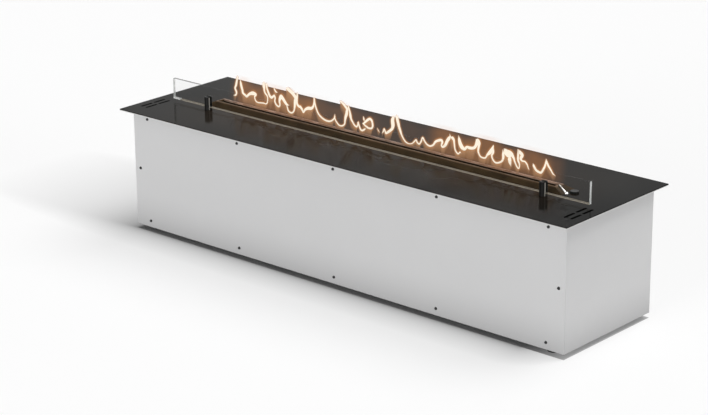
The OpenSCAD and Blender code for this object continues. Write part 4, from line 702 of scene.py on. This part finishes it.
def across_at(curve, i):
    """The unit step across a line, in the plane of the flames, at one of its points."""
    a, b = curve[max(i - 1, 0)], curve[min(i + 1, len(curve) - 1)]
    dx, dh = b[0] - a[0], b[1] - a[1]
    size = max(1e-6, math.hypot(dx, dh))
    return -dh / size, dx / size


def body_below(bm, heat, fade, points):
    """A veil that hangs below a bright line and fades out toward the slot."""
    curve = [(x * MM, h * MM, w * MM) for x, h, w in eased(points, SOFT_STEPS)]
    rows = (0.0, 0.12, 0.3, 0.55, 0.8, 1.0)

    def offsets(i):
        x, h, w = curve[i]
        level = abs(across_at(curve, i)[1])
        depth = min(h - CLEAR, (VEIL_LEAST + 4.6 * w) * (0.3 + 0.7 * level))
        return [(0.0, -depth * t) for t in rows]

    weights = (1.0, 0.95, 0.72, 0.4, 0.16, 0.0)
    ribbon(bm, heat, fade, curve, offsets, weights, (1.0, 0.92, 0.7, 0.45, 0.25, 0.1))


def glow_round(bm, heat, fade, points):
    """A soft halo on both sides of a bright line."""
    curve = [(x * MM, h * MM, w * MM) for x, h, w in eased(points, SOFT_STEPS)]

    def offsets(i):
        ax, ah = across_at(curve, i)
        reach = HALO_LEAST + 0.9 * curve[i][2]
        return [(ax * reach * t, ah * reach * t) for t in (-1.0, -0.6, 0.0, 0.6, 1.0)]

    ribbon(bm, heat, fade, curve, offsets, (0.0, 0.22, 0.75, 0.22, 0.0), (0.0, 0.5, 1.0, 0.5, 0.0))


def glowing(name, cool, hot, scale, low, high=1.0, noise_range=NOISE_RANGE):
    """Light and no surface: black, without gloss, and as see-through as the mesh's fade and a noise say."""
    look = Look(name, (0.0, 0.0, 0.0), 1.0)
    look.set("Specular IOR Level", 0.0)
    look.set("Emission Color", look.mix(look.read("heat"), cool, hot))
    look.set("Emission Strength", 1.0)
    fade = look.read("fade")
    patches = look.span(look.noise(scale, 2.0), low, high, *noise_range)
    look.set("Alpha", look.sum("MULTIPLY", fade, patches))
    return look


flame_layers = (
    ("flame_lines", bright_line,
     glowing("flame_line", (1.0, 0.9, 0.74), (1.0, 0.99, 0.95), 160.0, 0.94, 1.0, (0.3, 0.5))),
    ("flame_glow", glow_round, glowing("flame_glow", (0.75, 0.32, 0.11), (1.0, 0.86, 0.62), 90.0, 0.6)),
    ("flame_bodies", body_below, glowing("flame_body", (0.42, 0.23, 0.12), (1.0, 0.9, 0.7), 120.0, 0.7)),
)
for name, build, look in flame_layers:
    bm = bmesh.new()
    heat, fade = bm.verts.layers.float.new("heat"), bm.verts.layers.float.new("fade")
    for points in FLAMES:
        build(bm, heat, fade, points)
    mesh_object(name, bm, look)


# How strongly the painted glow over the slot shows: place along it in mm, and level
HAZE_GLOW = [(-366, 0.0), (-346, 0.2), (-334, 1.0), (-168, 1.0), (-140, 0.4), (-25, 0.3), (5, 0.12), (95, 0.15),
          (128, 0.75), (155, 0.95), (350, 0.85), (372, 0.3), (396, 0.0)]


def haze_glow(x):
    """The level at a place along the slot, eased from each listed place to the next."""
    for (x0, low), (x1, high) in zip(HAZE_GLOW, HAZE_GLOW[1:]):
        if x <= x1:
            t = max(0.0, (x - x0) / (x1 - x0))
            return low + (high - low) * t * t * (3 - 2 * t)
    return HAZE_GLOW[-1][1]


def haze():
    """A painted glow over the slot: a thin closed sheet whose glow fades out toward all its edges."""
    bm = bmesh.new()
    heat, fade = bm.verts.layers.float.new("heat"), bm.verts.layers.float.new("fade")
    x0, x1, columns, rows = HAZE_GLOW[0][0] * MM, HAZE_GLOW[-1][0] * MM, 150, 14
    top = HAZE_TOP - RIDGE
    sheets = {}
    for side, push in (("front", -HAZE_HALF), ("back", HAZE_HALF)):
        sheet = []
        for i in range(columns + 1):
            x = x0 + (x1 - x0) * i / columns
            level = haze_glow(x / MM)
            column = []
            for r in range(rows + 1):
                t = r / rows
                v = bm.verts.new(flame_point(x, top * t) + Vector((0, push + HAZE_BACK, 0)))
                wave = 0.5 + 0.5 * noise.noise(Vector((x * 9, t * 1.5, 7.7)))
                v[heat] = wave
                ragged = max(0.0, 1 - t * (1.0 + 0.25 * noise.noise(Vector((x * 24, 0.0, 5.5)))))
                v[fade] = level * min(1.0, 0.25 + t * 5) * min(1.0, ragged * 3, (1 - t) * 12)
                column.append(v)
            sheet.append(column)
        sheets[side] = sheet
    f, b = sheets["front"], sheets["back"]
    for i in range(columns):
        for r in range(rows):
            bm.faces.new((f[i][r], f[i + 1][r], f[i + 1][r + 1], f[i][r + 1]))
            bm.faces.new((b[i][r], b[i][r + 1], b[i + 1][r + 1], b[i + 1][r]))
        bm.faces.new((f[i][0], b[i][0], b[i + 1][0], f[i + 1][0]))
        bm.faces.new((f[i][rows], f[i + 1][rows], b[i + 1][rows], b[i][rows]))
    for r in range(rows):
        bm.faces.new((f[0][r], f[0][r + 1], b[0][r + 1], b[0][r]))
        bm.faces.new((f[columns][r], b[columns][r], b[columns][r + 1], f[columns][r + 1]))
    look = glowing("flame_haze", (0.84, 0.33, 0.09), (0.92, 0.3, 0.07), 22.0, 0.1, 0.145)
    mesh_object("flame_haze", bm, look)


haze()


# Floor, light and camera

def stage_mesh(name, corners, look):
    mesh = bpy.data.meshes.new(name)
    mesh.from_pydata(corners, [], [(0, 1, 2, 3)])
    obj = bpy.data.objects.new(name, mesh)
    bpy.context.scene.collection.objects.link(obj)
    mesh.materials.append(look)


FLOOR_WHITE = 0.65
SKY_WHITE = 0.97
AMBIENT = 0.3


def seen_directly(look):
    """1 for the camera and for what gloss and glass show, and 0 for the light on the object."""
    path = look.add("ShaderNodeLightPath")
    both = look.sum("MAXIMUM", path.outputs["Is Camera Ray"], path.outputs["Is Glossy Ray"])
    return look.sum("MAXIMUM", both, path.outputs["Is Transmission Ray"])


floor = Look("floor", (0.3, 0.3, 0.3), 0.9)
floor.set("Specular IOR Level", 0.0)
floor.set("Emission Color", (1.0, 1.0, 1.0))
# The lift to white stops short of the object, which keeps its shadow and adds a painted soft shadow round it
# that reaches farthest on the left
SHADE_RIGHT, SHADE_REACH, LEFT_SHARE = 0.4, 0.08, 0.18
past_left = floor.sum("MAXIMUM", floor.sum("SUBTRACT", -CASE_HALF[0], floor.axis(0)), 0.0)
past_right = floor.sum("MAXIMUM", floor.sum("SUBTRACT", floor.axis(0), SHADE_RIGHT), 0.0)
beside = floor.sum("ADD", floor.sum("MULTIPLY", past_left, LEFT_SHARE), past_right)
off_depth = floor.sum("ABSOLUTE", floor.axis(1), 0.0)
before = floor.sum("MAXIMUM", floor.sum("SUBTRACT", off_depth, CASE_HALF[1]), 0.0)
squares = floor.sum("ADD", floor.sum("MULTIPLY", beside, beside), floor.sum("MULTIPLY", before, before))
away = floor.sum("SQRT", squares, 0.0)
rise = floor.sum("POWER", floor.span(away, 0.0, 1.0, 0.0, SHADE_REACH), 0.35)
# Under the casing there is hardly any lift, and a little more of it at the right end
off_length = floor.sum("ABSOLUTE", floor.axis(0), 0.0)
outside = floor.sum("MAXIMUM", floor.sum("SUBTRACT", off_length, CASE_HALF[0]), before)
under = floor.span(floor.axis(0), 0.0, 0.3, SHADE_RIGHT, CASE_HALF[0])
rise = floor.sum("MULTIPLY", rise, floor.sum("MAXIMUM", floor.sum("GREATER_THAN", outside, 0.0), under))
lift = floor.sum("MULTIPLY", rise, FLOOR_WHITE)
floor.set("Emission Strength", floor.sum("MULTIPLY", seen_directly(floor), lift))
REACH = 30.0
corners = [(-REACH, -REACH, 0), (REACH, -REACH, 0), (REACH, REACH, 0), (-REACH, REACH, 0)]
stage_mesh("floor", corners, floor.mat)

world = bpy.data.worlds.new("studio")
world.use_nodes = True
tree = world.node_tree
tree.nodes.clear()
path = tree.nodes.new("ShaderNodeLightPath")
a, b = tree.nodes.new("ShaderNodeMath"), tree.nodes.new("ShaderNodeMath")
a.operation = b.operation = "MAXIMUM"
tree.links.new(path.outputs["Is Camera Ray"], a.inputs[0])
tree.links.new(path.outputs["Is Glossy Ray"], a.inputs[1])
tree.links.new(a.outputs[0], b.inputs[0])
tree.links.new(path.outputs["Is Transmission Ray"], b.inputs[1])
level = tree.nodes.new("ShaderNodeMapRange")
level.inputs["To Min"].default_value = AMBIENT
level.inputs["To Max"].default_value = SKY_WHITE
tree.links.new(b.outputs[0], level.inputs["Value"])
sky = tree.nodes.new("ShaderNodeBackground")
sky.inputs["Color"].default_value = (1.0, 1.0, 1.0, 1.0)
tree.links.new(level.outputs[0], sky.inputs["Strength"])
world_out = tree.nodes.new("ShaderNodeOutputWorld")
tree.links.new(sky.outputs[0], world_out.inputs["Surface"])
bpy.context.scene.world = world


def soft_sun(name, toward, energy, angle):
    """A wide, soft light from one direction."""
    lamp = bpy.data.lights.new(name, "SUN")
    lamp.energy = energy
    lamp.angle = math.radians(angle)
    obj = bpy.data.objects.new(name, lamp)
    obj.rotation_euler = Vector(toward).to_track_quat("Z", "Y").to_euler()
    bpy.context.scene.collection.objects.link(obj)


soft_sun("right_light", (1.0, 0.0, 0.14), 1.51, 25)
soft_sun("front_light", (0.0, -1.0, 0.14), 2.27, 25)
soft_sun("top_light", (0.2, 0.5, 0.84), 2.32, 40)

cam_data = bpy.data.cameras.new("camera")
cam_data.sensor_fit = "HORIZONTAL"
cam_data.sensor_width = 36.0
cam_data.lens = FOCAL_PX / PHOTO_W * cam_data.sensor_width
camera = bpy.data.objects.new("camera", cam_data)
bpy.context.scene.collection.objects.link(camera)
turn = Matrix((RIGHT, UP, BACK)).transposed().to_4x4()
camera.matrix_world = Matrix.Translation(EYE) @ turn
bpy.context.scene.camera = camera

bpy.context.scene.view_settings.view_transform = "Standard"
